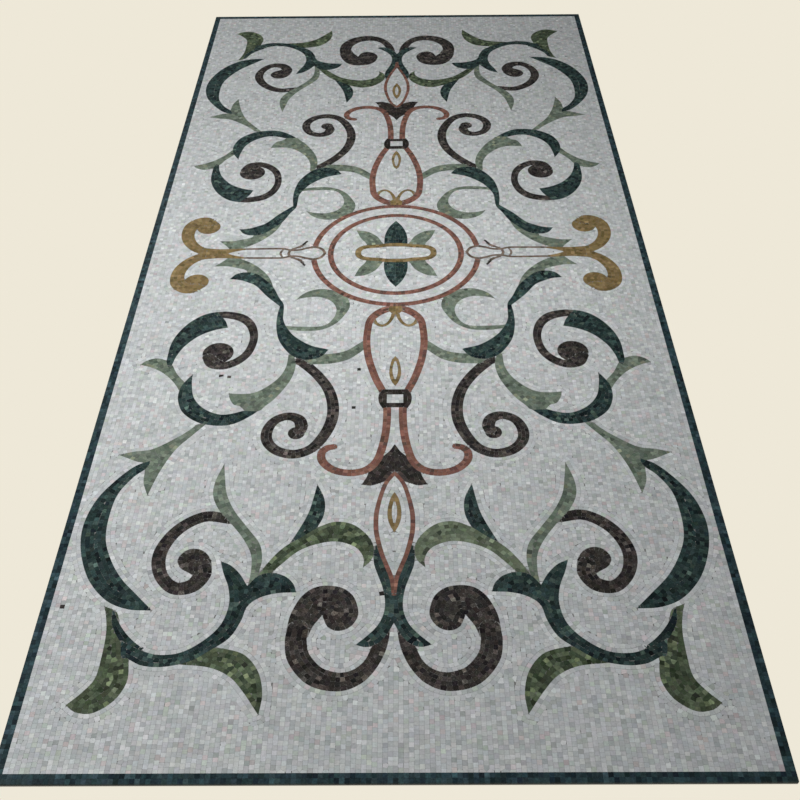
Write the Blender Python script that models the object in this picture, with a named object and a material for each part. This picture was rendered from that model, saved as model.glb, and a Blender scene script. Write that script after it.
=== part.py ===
# A stone mosaic floor panel: scrolls and leaves let flush into a pale ground, inside a dark border.
# The panel lies flat with its face up, its width along X and its length along Y.
# The origin is at the middle of its underside. Lengths are in metres.

import math

import bpy
import bmesh
from mathutils import Vector

# Driving dimensions
PANEL_WIDTH = 1.500
PANEL_LENGTH = 3.300
PANEL_THICKNESS = 0.010
BORDER_WIDTH = 0.020
INLAY_DEPTH = 0.006
JOINT = 0.0003

# Bare ground between the outermost leaves and the border
SIDE_GROUND = 0.0238
END_GROUND = 0.118

# The cartoon of the pattern is squared up like a mosaicist's drawing, one square to a tessera.
# Its (0, 0) is the middle of the panel, and SQUARE_X and SQUARE_Y below fit it to the panel.
# Only the quarter with positive x and y is drawn, and the other three mirror it.
# About how far, in squares, a straight facet may leave the drawn curve.
FACET_ERROR = 0.26
CURVE_STEPS = 24
CAP_STEPS = 3
DISC_SIDES = 10
SHARPEST_CORNER = 0.02
FLAT_ANGLE = math.radians(0.2)

# Sizes of the turned and drawn figures, in squares
OUTER_RING_RADIUS = 24.6
RING_WIDTH = 1.7
RING_SPACING = 5.1
INNER_RING_RADIUS = OUTER_RING_RADIUS - RING_SPACING
RING_EDGE = OUTER_RING_RADIUS + RING_WIDTH / 2
RING_SIDES = 24
BUD_HALF_HEIGHT = 3.1
HOOK_ANGLE = math.radians(56.3)
PILL_HALF_LENGTH = 11.3
PILL_HALF_HEIGHT = 3.2
PILL_BAND_WIDTH = 1.6
PILL_CORNER_STEPS = 3
BUCKLE_HALF_WIDTH = 4.2
BUCKLE_TOP = 59.4
BUCKLE_BOTTOM = 66.0
BUCKLE_WINDOW_HALF_WIDTH = 2.1
BUCKLE_WINDOW_TOP = 61.3
BUCKLE_WINDOW_BOTTOM = 64.4

# Stone colours
PALE_GREY = (0.56, 0.57, 0.56)
DARK_GREEN = (0.022, 0.058, 0.052)
BORDER_GREEN = (0.020, 0.050, 0.060)
SAGE = (0.165, 0.230, 0.175)
OLIVE = (0.085, 0.130, 0.055)
BROWN = (0.040, 0.030, 0.027)
RUST = (0.260, 0.095, 0.060)
OCHRE = (0.300, 0.175, 0.060)
BLACK = (0.018, 0.016, 0.016)
STONE_ROUGHNESS = 0.35

# The four quarters: name, mirror in x, mirror in y
QUARTERS = (
    ("right_far", 1, 1),
    ("left_far", -1, 1),
    ("left_near", -1, -1),
    ("right_near", 1, -1),
)
ENDS = (("far", 1), ("near", -1))
SIDES = (("right", 1), ("left", -1))


def smooth_run(knots):
    """Points of a Catmull-Rom curve through the knots, with its parameter evenly stepped."""
    first = knots[0] * 2 - knots[1]
    last = knots[-1] * 2 - knots[-2]
    line = [first] + list(knots) + [last]
    points = []
    for a, b, c, d in zip(line, line[1:], line[2:], line[3:]):
        for step in range(CURVE_STEPS):
            t = step / CURVE_STEPS
            points.append(
                0.5 * (2 * b + (c - a) * t + (2 * a - 5 * b + 4 * c - d) * t ** 2
                       + (3 * b - a - 3 * c + d) * t ** 3))
    points.append(knots[-1])
    return points


def facet_run(points):
    """Few of the points, moved so that the straight facets leave the curve equally on both sides."""
    kept = [0]
    while kept[-1] < len(points) - 1:
        start = kept[-1]
        end = start + 1
        while end + 1 < len(points) and facet_fits(points, start, end + 1):
            end += 1
        kept.append(end)
    line = [points[index] for index in kept]
    for place in range(1, len(kept) - 1):
        before = bulge(points, kept[place - 1], kept[place])
        after = bulge(points, kept[place], kept[place + 1])
        line[place] = points[kept[place]] + (before + after) / 4
    return line


def facet_fits(points, start, end):
    chord = points[end].to_2d() - points[start].to_2d()
    length = chord.length
    for point in points[start + 1:end]:
        offset = point.to_2d() - points[start].to_2d()
        if length == 0 or abs(chord.x * offset.y - chord.y * offset.x) / length > 2 * FACET_ERROR:
            return False
    return True


def bulge(points, start, end):
    """How far the curve stands off the middle of its facet."""
    return points[(start + end) // 2] - (points[start] + points[end]) / 2


def leaf(*edges):
    """An outline of smooth edges. Each edge starts at a corner and ends where the next begins."""
    outline = []
    for edge, following in zip(edges, edges[1:] + edges[:1]):
        knots = [Vector(point) for point in list(edge) + [following[0]]]
        outline += facet_run(smooth_run(knots))[:-1]
    return anticlockwise(outline)


def band(*knots, round_end=True):
    """A band along a smooth centre line. A knot is x, y and the half width there."""
    line = facet_run(smooth_run([Vector(knot) for knot in knots]))
    left = []
    right = []
    for index, point in enumerate(line):
        before = line[max(index - 1, 0)].to_2d()
        after = line[min(index + 1, len(line) - 1)].to_2d()
        along = (after - before).normalized()
        normal = Vector((-along.y, along.x))
        left.append(point.to_2d() + normal * point.z)
        right.append(point.to_2d() - normal * point.z)
    cap = []
    if round_end:
        middle = line[-1].to_2d()
        spoke = left[-1] - middle
        for step in range(1, CAP_STEPS):
            angle = -math.pi * step / CAP_STEPS
            turned = Vector((
                spoke.x * math.cos(angle) - spoke.y * math.sin(angle),
                spoke.x * math.sin(angle) + spoke.y * math.cos(angle)))
            cap.append(middle + turned)
    return anticlockwise(left + cap + right[::-1])


def disc(x, y, radius):
    return arc(Vector((x, y)), radius, 0, 2 * math.pi, DISC_SIDES)[:-1]


def arc(centre, radius, start, end, steps):
    angles = [start + (end - start) * step / steps for step in range(steps + 1)]
    return [centre + Vector((math.cos(angle), math.sin(angle))) * radius for angle in angles]


def mirrored_half(half):
    """A whole outline from its half at x >= 0, whose first and last points lie on the axis."""
    return anticlockwise(half + [Vector((-point.x, point.y)) for point in half[-2:0:-1]])


def half_leaf(*edges):
    """A figure on the length axis, drawn by its edges at x >= 0 from one axis point to the other."""
    half = []
    for index, edge in enumerate(edges):
        knots = [Vector(point) for point in edge]
        if index + 1 < len(edges):
            knots.append(Vector(edges[index + 1][0]))
        half += facet_run(smooth_run(knots))
        if index + 1 < len(edges):
            half.pop()
    return mirrored_half(half)


def from_rim(angle, *points):
    """Points drawn from the place on the outer ring's edge at an angle, as points of the cartoon."""
    return [(RING_EDGE * math.cos(angle) + x, RING_EDGE * math.sin(angle) + y) for x, y in points]


def anticlockwise(outline):
    area = sum(a.x * b.y - a.y * b.x for a, b in zip(outline, outline[1:] + outline[:1]))
    if area < 0:
        outline = outline[::-1]
    return [point.to_2d() for point in outline]


def grown(outline, distance_x, distance_y):
    """The outline moved outward by a distance, given in squares each way."""
    moved = []
    count = len(outline)
    for index, point in enumerate(outline):
        before = edge_normal(outline[index - 1], point)
        after = edge_normal(point, outline[(index + 1) % count])
        bisector = before + after
        mitre = bisector / max(bisector.dot(before), SHARPEST_CORNER)
        moved.append(point + Vector((mitre.x * distance_x, mitre.y * distance_y)))
    return moved


def edge_normal(start, end):
    along = (end - start).normalized()
    return Vector((along.y, -along.x))


def ring_outlines():
    """The rings' outlines: the inner ring whole, and the outer ring's far arc between the buds."""
    inner = []
    for sign in (1, -1):
        radius = INNER_RING_RADIUS + sign * RING_WIDTH / 2
        inner.append(arc(Vector((0, 0)), radius, 0, 2 * math.pi, RING_SIDES)[:-1])
    gap = math.asin(BUD_HALF_HEIGHT / OUTER_RING_RADIUS)
    outer_edge = arc(
        Vector((0, 0)), OUTER_RING_RADIUS + RING_WIDTH / 2, gap, math.pi - gap, RING_SIDES // 2)
    inner_edge = arc(
        Vector((0, 0)), OUTER_RING_RADIUS - RING_WIDTH / 2, gap, math.pi - gap, RING_SIDES // 2)
    return inner, anticlockwise(outer_edge + inner_edge[::-1])


def pill_outline(half_length, half_height):
    """A long ring's edge: straight sides with round ends."""
    centre = half_length - half_height
    right = arc(Vector((centre, 0)), half_height, -math.pi / 2, math.pi / 2, 2 * PILL_CORNER_STEPS)
    left = [Vector((-point.x, -point.y)) for point in right]
    return right + left


# The figures of one quarter, in squares. A spray is several leaves of its own stones, grown together.
S_LEAF = leaf(
    [(48.3, 12.5), (46.6, 10.1), (44.0, 9.3), (41.0, 9.9), (38.0, 12.8), (35.2, 16.6), (33.3, 21.0),
     (31.7, 24.2), (31.4, 27.5), (31.2, 31.0), (29.9, 34.6), (27.4, 38.3), (23.0, 41.9)],
    [(17.9, 43.7), (20.3, 46.9), (24.5, 47.7), (28.3, 45.4), (31.6, 40.0), (32.9, 34.0), (33.0, 28.5)],
    [(32.6, 25.2), (34.1, 23.6), (36.9, 20.4), (40.2, 15.9), (42.7, 14.2), (45.2, 13.0)])
SIDE_LEAF = leaf(
    [(35.0, 17.2), (36.6, 12.4), (39.0, 8.6), (42.3, 5.2), (46.0, 2.9)],
    [(50.0, 2.2), (51.4, 4.0)],
    [(53.6, 6.4), (50.0, 6.3), (47.0, 7.1), (44.0, 8.3), (43.2, 10.4)],
    [(40.5, 12.2), (37.6, 14.6)])
HOOK = leaf(
    [(32.0, 34.6)] + from_rim(
        HOOK_ANGLE, (11.88, 14.73), (6.38, 14.33), (2.38, 11.63), (-0.22, 7.33), (-1.22, 3.83),
        (-0.12, -0.17), (3.28, -2.67), (6.88, -3.77), (10.2, -3.0), (12.6, -1.2)),
    from_rim(
        HOOK_ANGLE, (14.3, 1.3), (12.7, 0.5), (10.2, -0.1), (7.08, 0.03), (3.88, 2.13), (2.48, 5.83),
        (3.48, 10.03), (6.18, 12.73), (11.88, 12.93)),
    [(32.0, 33.6)])
VASE_BAND = leaf(
    [(7.6, 39.0), (10.0, 41.4), (13.2, 44.2), (17.0, 45.4)],
    [(22.0, 45.8), (25.0, 47.0)],
    [(22.4, 49.6), (17.0, 49.3), (12.8, 47.9), (10.0, 45.5)],
    [(7.6, 42.8)])
LARGE_SCROLL = band(
    (25.2, 48.2, 1.6), (23.0, 50.6, 1.5), (19.9, 54.5, 1.45), (17.2, 59.4, 1.45), (15.8, 65.0, 1.5),
    (15.9, 70.6, 1.5), (17.6, 75.9, 1.45), (20.4, 80.2, 1.4), (24.4, 82.0, 1.45), (28.6, 80.9, 1.4),
    (31.3, 77.8, 1.4), (31.7, 74.0, 1.4), (30.0, 70.4, 1.3), (26.8, 69.0, 1.35), (24.2, 70.1, 1.55),
    (23.3, 72.4, 1.6), (23.6, 73.9, 1.6))
LARGE_SCROLL_HEAD = disc(24.4, 74.9, 2.1)
FORK_LEAF = leaf(
    [(27.2, 46.0), (26.4, 50.0), (27.0, 54.5), (28.6, 58.6), (30.9, 62.7)],
    [(33.2, 65.5), (34.5, 67.0)],
    [(38.0, 67.0), (39.5, 65.3), (41.2, 64.6), (42.5, 62.2)],
    [(42.8, 60.5), (40.0, 60.8), (36.5, 60.4), (33.3, 58.2), (30.4, 54.6), (28.9, 50.5)],
    [(28.6, 45.6)])
LOWER_CRESCENT = leaf(
    [(32.8, 65.0), (36.4, 68.8), (40.4, 71.6), (44.5, 72.2), (49.4, 71.0), (53.6, 67.6), (55.6, 63.0),
     (55.7, 58.5), (54.5, 55.5)],
    [(53.2, 53.2), (52.9, 57.0), (51.6, 62.2), (48.4, 66.2), (43.8, 68.3), (39.0, 67.2), (35.8, 65.3)])
ARCH_LEAF = leaf(
    [(67.7, 49.4), (66.4, 47.9), (64.0, 46.9), (61.4, 47.6), (59.3, 49.4), (57.4, 53.0)],
    [(54.4, 57.0), (54.6, 60.6)],
    [(55.6, 59.8), (58.0, 56.0), (61.0, 52.8), (64.4, 50.6)])
ARCH = leaf(
    [(50.0, 27.5), (52.2, 28.1), (54.6, 29.5), (57.4, 32.5), (59.7, 36.8), (60.9, 41.6)],
    [(61.0, 48.2), (60.2, 50.2)],
    [(59.3, 49.8), (58.6, 46.0), (57.0, 42.0), (53.8, 37.9), (50.0, 35.5)],
    [(46.2, 34.3), (47.4, 31.2)])
MIDDLE_SCROLL = band(
    (49.6, 28.9, 1.3), (47.2, 28.8, 1.45), (43.0, 30.1, 1.5), (40.2, 33.0, 1.3), (38.8, 37.0, 1.15),
    (38.7, 41.0, 1.1), (39.8, 45.2, 1.2), (42.2, 48.3, 1.3), (45.4, 49.9, 1.5), (48.3, 48.9, 2.0),
    (50.0, 46.6, 1.6))
MIDDLE_SCROLL_HEAD = disc(47.6, 44.9, 4.15)
OUTER_FORK = leaf(
    [(47.2, 71.6), (50.2, 75.6), (53.2, 79.8), (55.4, 85.0), (56.8, 90.0)],
    [(57.8, 95.0), (59.4, 91.0), (59.8, 87.0)],
    [(60.2, 84.6), (62.4, 84.1), (64.8, 83.0)],
    [(67.1, 81.9), (63.5, 80.9), (59.0, 80.0), (54.0, 76.4), (51.2, 73.8)],
    [(49.6, 71.8)])
BIG_CRESCENT = leaf(
    [(58.9, 83.9), (62.5, 85.8), (66.3, 90.4), (69.3, 95.8), (70.7, 101.5), (70.7, 107.0),
     (69.2, 113.0), (66.2, 119.2), (61.6, 124.2), (56.6, 126.5)],
    [(51.2, 126.9), (55.0, 123.1), (59.5, 118.4), (62.9, 113.0), (65.0, 107.5), (65.5, 101.0),
     (64.8, 94.5), (62.2, 89.3), (59.6, 86.4)])
SMALL_SCROLL = band(
    (37.8, 102.2, 1.3), (42.5, 101.3, 1.5), (46.2, 102.7, 1.5), (49.5, 105.8, 1.5),
    (51.6, 110.0, 1.55), (52.0, 114.0, 1.55), (50.6, 118.2, 1.45), (47.4, 121.2, 1.55),
    (43.7, 120.6, 1.8), (41.8, 117.6, 1.9), (42.3, 115.2, 1.9))
SMALL_SCROLL_HEAD = leaf(
    [(40.0, 117.6), (40.0, 115.6), (40.7, 113.3), (42.1, 111.5), (44.0, 110.6), (46.0, 110.9),
     (47.4, 112.3), (47.8, 114.0), (46.9, 115.8), (45.5, 116.8)],
    [(44.1, 117.6), (43.2, 119.0)])
LONG_LEAF = leaf(
    [(41.0, 85.0), (42.4, 90.5), (42.4, 95.0), (40.6, 99.2), (37.4, 103.2), (34.0, 107.8),
     (31.8, 112.2), (31.3, 116.5)],
    [(31.6, 121.5), (30.2, 120.8)],
    [(29.6, 117.5), (29.2, 113.5), (30.2, 109.2), (33.4, 104.6), (36.8, 99.8), (39.2, 94.8),
     (40.3, 89.5)])
DARK_LEAF = leaf(
    [(18.2, 91.6), (18.8, 95.5), (19.7, 100.2), (21.3, 104.6)],
    [(23.2, 108.8), (20.4, 108.2), (17.8, 105.1), (16.2, 101.0), (16.3, 96.4)])
OLIVE_ARCH = leaf(
    [(30.4, 119.2), (27.2, 113.6), (24.4, 110.1), (20.8, 107.4), (17.6, 104.9), (13.6, 103.1),
     (9.6, 103.8), (6.4, 106.6), (4.7, 109.8), (4.8, 113.4)],
    [(6.8, 116.0), (6.8, 113.2), (8.6, 110.4), (12.4, 108.8), (16.6, 109.2), (21.2, 111.3),
     (25.2, 115.4)],
    [(28.4, 119.2)])
CORNER_STEM = leaf(
    [(21.0, 122.4), (21.8, 120.2), (23.6, 118.3), (26.4, 117.3), (29.4, 117.9)],
    [(31.7, 120.7), (33.6, 117.6), (35.8, 115.3)],
    [(38.3, 114.0), (37.2, 117.4), (35.7, 121.2), (35.1, 125.6), (36.2, 130.4), (39.2, 134.2),
     (43.6, 137.1), (48.4, 137.6), (52.6, 136.2)],
    [(56.4, 134.2), (55.6, 138.0)],
    [(54.4, 138.4), (51.0, 140.1), (46.6, 140.4), (41.6, 139.2), (37.6, 136.6), (34.0, 133.6),
     (32.1, 129.6), (31.1, 125.9), (28.6, 123.7), (25.0, 122.6)])
OLIVE_HOOK = leaf(
    [(61.6, 125.7), (58.6, 127.3), (57.2, 131.0), (55.3, 134.9), (53.8, 139.6), (53.4, 144.0),
     (55.2, 148.0), (58.8, 150.6), (62.2, 150.4)],
    [(64.4, 148.9), (61.8, 146.1), (59.9, 142.9), (59.6, 138.0), (59.8, 132.6), (60.6, 128.6)])
OLIVE_LEAF = leaf(
    [(26.3, 151.2), (26.0, 146.5), (27.3, 141.6), (30.4, 137.8), (34.6, 136.3)],
    [(38.4, 136.0), (42.0, 138.0)],
    [(43.4, 139.9), (37.4, 140.6), (33.0, 142.7), (29.8, 146.2)])
END_SCROLL = band(
    (1.2, 131.0, 0.5), (2.1, 133.8, 1.15), (3.2, 136.8, 1.5), (4.8, 140.2, 1.5), (7.5, 142.9, 1.8),
    (11.2, 144.0, 2.1), (15.9, 142.6, 2.3), (19.3, 138.6, 2.3), (20.2, 134.6, 2.25),
    (20.0, 131.6, 2.2))
END_SCROLL_HEAD = leaf(
    [(22.4, 133.0), (22.0, 129.0), (21.1, 126.1), (19.6, 123.3), (17.3, 121.3), (14.4, 120.7),
     (11.2, 121.3), (8.9, 123.2), (7.8, 125.8), (7.6, 128.6), (9.2, 131.2), (11.6, 132.1),
     (13.8, 131.1)],
    [(15.1, 128.2), (16.9, 131.0)],
    [(17.8, 133.6)])

# The figures on the width axis at one side, in squares
CURL = band(
    (54.0, 0.8, 1.6), (57.8, 1.35, 1.65), (60.9, 3.5, 1.75), (63.0, 6.8, 1.9), (63.8, 10.4, 2.0),
    (63.2, 14.2, 2.15), (61.2, 16.4, 2.2), (58.9, 16.9, 2.1), (56.8, 16.0, 1.3))
CURL_HEAD = disc(57.9, 13.8, 3.6)
CURL_BAR = leaf(
    [(50.4, 0.0), (48.0, 1.05)],
    [(45.2, 1.85)],
    [(45.3, 2.65), (48.5, 2.4), (52.0, 2.25), (55.0, 2.4)],
    [(58.0, 2.9)],
    [(58.0, -2.9), (55.0, -2.4), (52.0, -2.25), (48.5, -2.4)],
    [(45.3, -2.65)],
    [(45.2, -1.85), (48.0, -1.05)])
SPEAR_LINE = band(
    (45.7, 2.16, 0.26), (44.0, 2.25, 0.42), (38.0, 2.35, 0.42),
    (RING_EDGE + 8.55, 2.3, 0.42), (RING_EDGE + 5.95, 1.5, 0.42), (RING_EDGE + 3.35, 1.7, 0.42),
    (RING_EDGE + 1.35, 2.5, 0.45), (RING_EDGE - 1.05, 3.0, 0.45), (RING_EDGE - 3.05, 2.2, 0.45),
    (RING_EDGE - 4.15, 0.2, 0.42), (RING_EDGE - 4.25, -0.6, 0.42))

# The figures on the length axis at one end, in squares
VASE_SIDE = band(
    (0.6, RING_EDGE + 0.95, 1.1), (3.0, RING_EDGE + 1.55, 1.3), (5.6, RING_EDGE + 3.75, 1.2),
    (7.1, RING_EDGE + 6.35, 1.05), (7.6, 35.5, 1.0),
    (7.8, 39.5, 1.0), (7.6, 43.5, 1.0), (7.0, 47.8, 1.0), (6.0, 52.0, 1.0), (4.8, 56.0, 1.0),
    (3.2, 60.0, 1.0), round_end=False)
VASE_LOOP = band(
    (0.4, RING_EDGE + 2.15, 0.6), (1.0, RING_EDGE + 5.15, 0.5), (2.2, RING_EDGE + 7.55, 0.45),
    (3.7, RING_EDGE + 8.45, 0.5), (5.2, RING_EDGE + 7.55, 0.5), (6.0, RING_EDGE + 5.55, 0.5))
VASE_NECK = half_leaf(
    [(0.0, RING_EDGE - 0.55)],
    [(1.7, RING_EDGE - 0.55)],
    [(2.0, RING_EDGE + 1.95), (1.0, RING_EDGE + 3.15), (0.0, RING_EDGE + 3.75)])
VASE_LOZENGE = half_leaf([(0.0, 46.5), (0.9, 48.0), (1.5, 51.5), (1.5, 54.0), (0.9, 56.4), (0.0, 58.2)])
BUCKLE = half_leaf(
    [(0.0, BUCKLE_TOP)],
    [(3.2, BUCKLE_TOP), (BUCKLE_HALF_WIDTH, 61.6), (4.1, 64.2)],
    [(3.2, BUCKLE_BOTTOM + 0.3)],
    [(2.4, BUCKLE_BOTTOM), (0.0, BUCKLE_BOTTOM)])
BUCKLE_WINDOW = half_leaf(
    [(0.0, BUCKLE_WINDOW_TOP)],
    [(BUCKLE_WINDOW_HALF_WIDTH, BUCKLE_WINDOW_TOP)],
    [(BUCKLE_WINDOW_HALF_WIDTH, BUCKLE_WINDOW_BOTTOM), (0.0, BUCKLE_WINDOW_BOTTOM)])
STRAND = band(
    (2.0, 65.0, 1.0), (2.0, 70.0, 1.0), (2.3, 75.0, 1.0), (3.1, 80.0, 1.0), (4.4, 84.4, 1.0),
    (6.8, 87.2, 1.05), (10.6, 88.2, 1.05), (14.6, 87.2, 1.05), (17.3, 84.6, 1.05),
    (17.8, 81.8, 1.0), (16.6, 80.1, 0.95), (14.9, 79.6, 0.9))
TREFOIL = half_leaf(
    [(0.0, 78.8), (1.4, 81.3), (3.3, 83.4), (5.5, 86.0), (6.6, 89.4)],
    [(7.8, 91.9), (5.6, 92.2), (3.4, 91.4), (2.2, 90.7)],
    [(1.3, 90.2), (0.0, 88.7)])
ALMOND_SIDE = band(
    (0.0, 88.3, 0.5), (1.9, 91.2, 0.5), (3.1, 95.0, 0.5), (4.05, 100.0, 0.55), (4.2, 103.8, 0.55),
    (3.9, 107.2, 0.55), (2.8, 112.0, 0.5), (1.6, 115.6, 0.5), (0.5, 119.0, 0.5), (0.0, 122.9, 0.5))
ALMOND_LOZENGE = half_leaf([(0.0, 94.2), (1.0, 96.4), (1.6, 100.0), (1.3, 103.2), (0.0, 106.4)])
STEM = half_leaf(
    [(0.0, 121.0), (0.6, 118.6), (1.6, 115.5), (2.8, 112.0)],
    [(3.7, 108.9)],
    [(4.6, 111.6), (4.4, 115.0), (3.3, 118.6), (2.4, 121.5), (1.9, 125.0), (2.2, 128.0),
     (3.4, 130.8), (5.4, 133.2)],
    [(7.9, 135.5), (5.6, 136.0), (3.4, 135.2), (1.6, 133.2), (0.0, 130.2)])

# The figures inside the rings, in squares
LANCE_LEAF = half_leaf([(0.0, 3.0)], [(3.5, 3.0)], [(3.5, 7.5), (3.0, 10.5), (1.8, 13.8), (0.0, 16.6)])
RING_LEAF = leaf(
    [(8.6, 3.4), (9.2, 5.1), (10.8, 7.8)],
    [(12.1, 11.6), (8.8, 10.9), (5.8, 8.4), (4.2, 5.2)],
    [(3.0, 3.4)])

# The cartoon is stretched to the panel so that the outermost leaves leave their bare ground.
SQUARE_X = (PANEL_WIDTH / 2 - BORDER_WIDTH - SIDE_GROUND) / max(point.x for point in BIG_CRESCENT)
SQUARE_Y = (PANEL_LENGTH / 2 - BORDER_WIDTH - END_GROUND) / max(point.y for point in OLIVE_LEAF)


def stone(name, colour):
    material = bpy.data.materials.new(name)
    material.use_nodes = True
    shader = material.node_tree.nodes["Principled BSDF"]
    shader.inputs["Base Color"].default_value = (*colour, 1)
    shader.inputs["Roughness"].default_value = STONE_ROUGHNESS
    shader.inputs["Metallic"].default_value = 0
    material.diffuse_color = (*colour, 1)
    return material


def prism(name, outline, bottom, top, material, hole=None):
    """A closed upright prism over an outline in metres, with a hole through it if one is given."""
    shape = bmesh.new()
    loops = [outline] + ([hole] if hole else [])
    edges = []
    for loop in loops:
        corners = [shape.verts.new((point.x, point.y, bottom)) for point in loop]
        edges += [shape.edges.new(pair) for pair in zip(corners, corners[1:] + corners[:1])]
    if hole:
        bmesh.ops.triangle_fill(shape, use_beauty=True, edges=edges)
    else:
        shape.faces.new(corners)
    raised = bmesh.ops.extrude_face_region(shape, geom=shape.faces[:], use_keep_orig=True)
    upper = [item for item in raised["geom"] if isinstance(item, bmesh.types.BMVert)]
    bmesh.ops.translate(shape, vec=(0, 0, top - bottom), verts=upper)
    bmesh.ops.recalc_face_normals(shape, faces=shape.faces[:])
    mesh = bpy.data.meshes.new(name)
    shape.to_mesh(mesh)
    shape.free()
    mesh.materials.append(material)
    prism_object = bpy.data.objects.new(name, mesh)
    bpy.context.scene.collection.objects.link(prism_object)
    return prism_object


def placed(outline, mirrors):
    """An outline in squares as metres on the panel, mirrored into its quarter."""
    points = [Vector((point.x * SQUARE_X * mirrors[0], point.y * SQUARE_Y * mirrors[1]))
              for point in outline]
    return anticlockwise(points)


def flipped(outline, mirrors):
    return anticlockwise([Vector((point.x * mirrors[0], point.y * mirrors[1])) for point in outline])


def hide_as_cutter(cutter):
    cutter.hide_render = True
    cutter.display_type = "WIRE"


def add_boolean(target, operation, operand):
    modifier = target.modifiers.new(operand.name, "BOOLEAN")
    modifier.operation = operation
    modifier.object = operand
    modifier.solver = "EXACT"
    modifier.material_mode = "TRANSFER"


def join_flat_faces(target):
    """Clear the lines that the Booleans leave across flat faces of one stone."""
    modifier = target.modifiers.new("flat", "DECIMATE")
    modifier.decimate_type = "DISSOLVE"
    modifier.angle_limit = FLAT_ANGLE
    modifier.delimit = {"MATERIAL"}


def footprint(solid):
    xs = [vertex.co.x for vertex in solid.data.vertices]
    ys = [vertex.co.y for vertex in solid.data.vertices]
    return min(xs), max(xs), min(ys), max(ys)


def footprints_meet(first, second):
    return (first[0] < second[1] and second[0] < first[1]
            and first[2] < second[3] and second[2] < first[3])


class Inlay:
    """The flush figures let into the field, each cut clear of those that were laid before it."""

    def __init__(self):
        self.bottom = PANEL_THICKNESS - INLAY_DEPTH
        self.pockets = []

    def lay(self, name, shapes, mirrors=(1, 1)):
        """Lay one figure by fusing its shapes, each an outline, its stone and maybe a hole."""
        figure = None
        own_pockets = []
        for number, (outline, material, *holes) in enumerate(shapes):
            hole = placed(holes[0], mirrors) if holes else None
            part = prism(name if number == 0 else f"{name}_part_{number}",
                         placed(outline, mirrors), self.bottom, PANEL_THICKNESS, material, hole)
            if number == 0:
                figure = part
            else:
                hide_as_cutter(part)
                add_boolean(figure, "UNION", part)
            own_pockets.append(self.pocket(f"{name}_pocket_{number}", outline, holes, mirrors, material))
        own_footprints = [footprint(pocket) for pocket in own_pockets]
        for pocket in self.pockets:
            if any(footprints_meet(footprint(pocket), own) for own in own_footprints):
                add_boolean(figure, "DIFFERENCE", pocket)
        join_flat_faces(figure)
        self.pockets += own_pockets

    def pocket(self, name, outline, holes, mirrors, material):
        """The cutter for a shape's pocket, wider and deeper than the shape by the joint."""
        wide = grown(outline, JOINT / SQUARE_X, JOINT / SQUARE_Y)
        island = grown(anticlockwise(holes[0]), -JOINT / SQUARE_X, -JOINT / SQUARE_Y) if holes else None
        cutter = prism(name, placed(wide, mirrors), self.bottom - JOINT,
                       PANEL_THICKNESS + INLAY_DEPTH, material, placed(island, mirrors) if holes else None)
        hide_as_cutter(cutter)
        return cutter


def rectangle(left, right, low, high):
    return [Vector((left, low)), Vector((right, low)), Vector((right, high)), Vector((left, high))]


def make_border(material):
    """Four strips of dark stone, the near and far ones between the side ones."""
    half_width = PANEL_WIDTH / 2
    half_length = PANEL_LENGTH / 2
    inner_x = half_width - BORDER_WIDTH
    inner_y = half_length - BORDER_WIDTH
    strips = {
        "border_left": (-half_width, -inner_x, -half_length, half_length),
        "border_right": (inner_x, half_width, -half_length, half_length),
        "border_near": (-inner_x + JOINT, inner_x - JOINT, -half_length, -inner_y),
        "border_far": (-inner_x + JOINT, inner_x - JOINT, inner_y, half_length),
    }
    for name, limits in strips.items():
        prism(name, rectangle(*limits), 0, PANEL_THICKNESS, material)


def make_field(material, pockets):
    """The pale ground inside the border, with a blind pocket for every figure."""
    half_x = PANEL_WIDTH / 2 - BORDER_WIDTH - JOINT
    half_y = PANEL_LENGTH / 2 - BORDER_WIDTH - JOINT
    field = prism("field", rectangle(-half_x, half_x, -half_y, half_y), 0, PANEL_THICKNESS, material)
    cutters = bpy.data.collections.new("pockets")
    for pocket in pockets:
        cutters.objects.link(pocket)
    modifier = field.modifiers.new("pockets", "BOOLEAN")
    modifier.operation = "DIFFERENCE"
    modifier.operand_type = "COLLECTION"
    modifier.collection = cutters
    modifier.solver = "EXACT"
    join_flat_faces(field)


def lay_centre(inlay, stones):
    inner_ring, outer_arc = ring_outlines()
    inlay.lay("inner_ring", [(inner_ring[0], stones["rust"], inner_ring[1])])
    for end, mirror in ENDS:
        inlay.lay(f"outer_ring_{end}", [(outer_arc, stones["rust"])], (1, mirror))
    pill = [pill_outline(PILL_HALF_LENGTH + sign * PILL_BAND_WIDTH / 2,
                         PILL_HALF_HEIGHT + sign * PILL_BAND_WIDTH / 2) for sign in (1, -1)]
    inlay.lay("pill_ring", [(pill[0], stones["ochre"], pill[1])])
    for end, mirror in ENDS:
        leaves = [(LANCE_LEAF, stones["dark green"]), (RING_LEAF, stones["sage"]),
                  (flipped(RING_LEAF, (-1, 1)), stones["sage"])]
        inlay.lay(f"centre_spray_{end}", leaves, (1, mirror))


def lay_sides(inlay, stones):
    for side, mirror in SIDES:
        curls = [(CURL_BAR, stones["ochre"])]
        for flip in (1, -1):
            curls += [(flipped(CURL, (1, flip)), stones["ochre"]),
                      (flipped(CURL_HEAD, (1, flip)), stones["ochre"])]
        inlay.lay(f"side_curls_{side}", curls, (mirror, 1))
    for side, mirror in SIDES:
        lines = [(flipped(SPEAR_LINE, (1, flip)), stones["brown"]) for flip in (1, -1)]
        inlay.lay(f"spear_{side}", lines, (mirror, 1))


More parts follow.
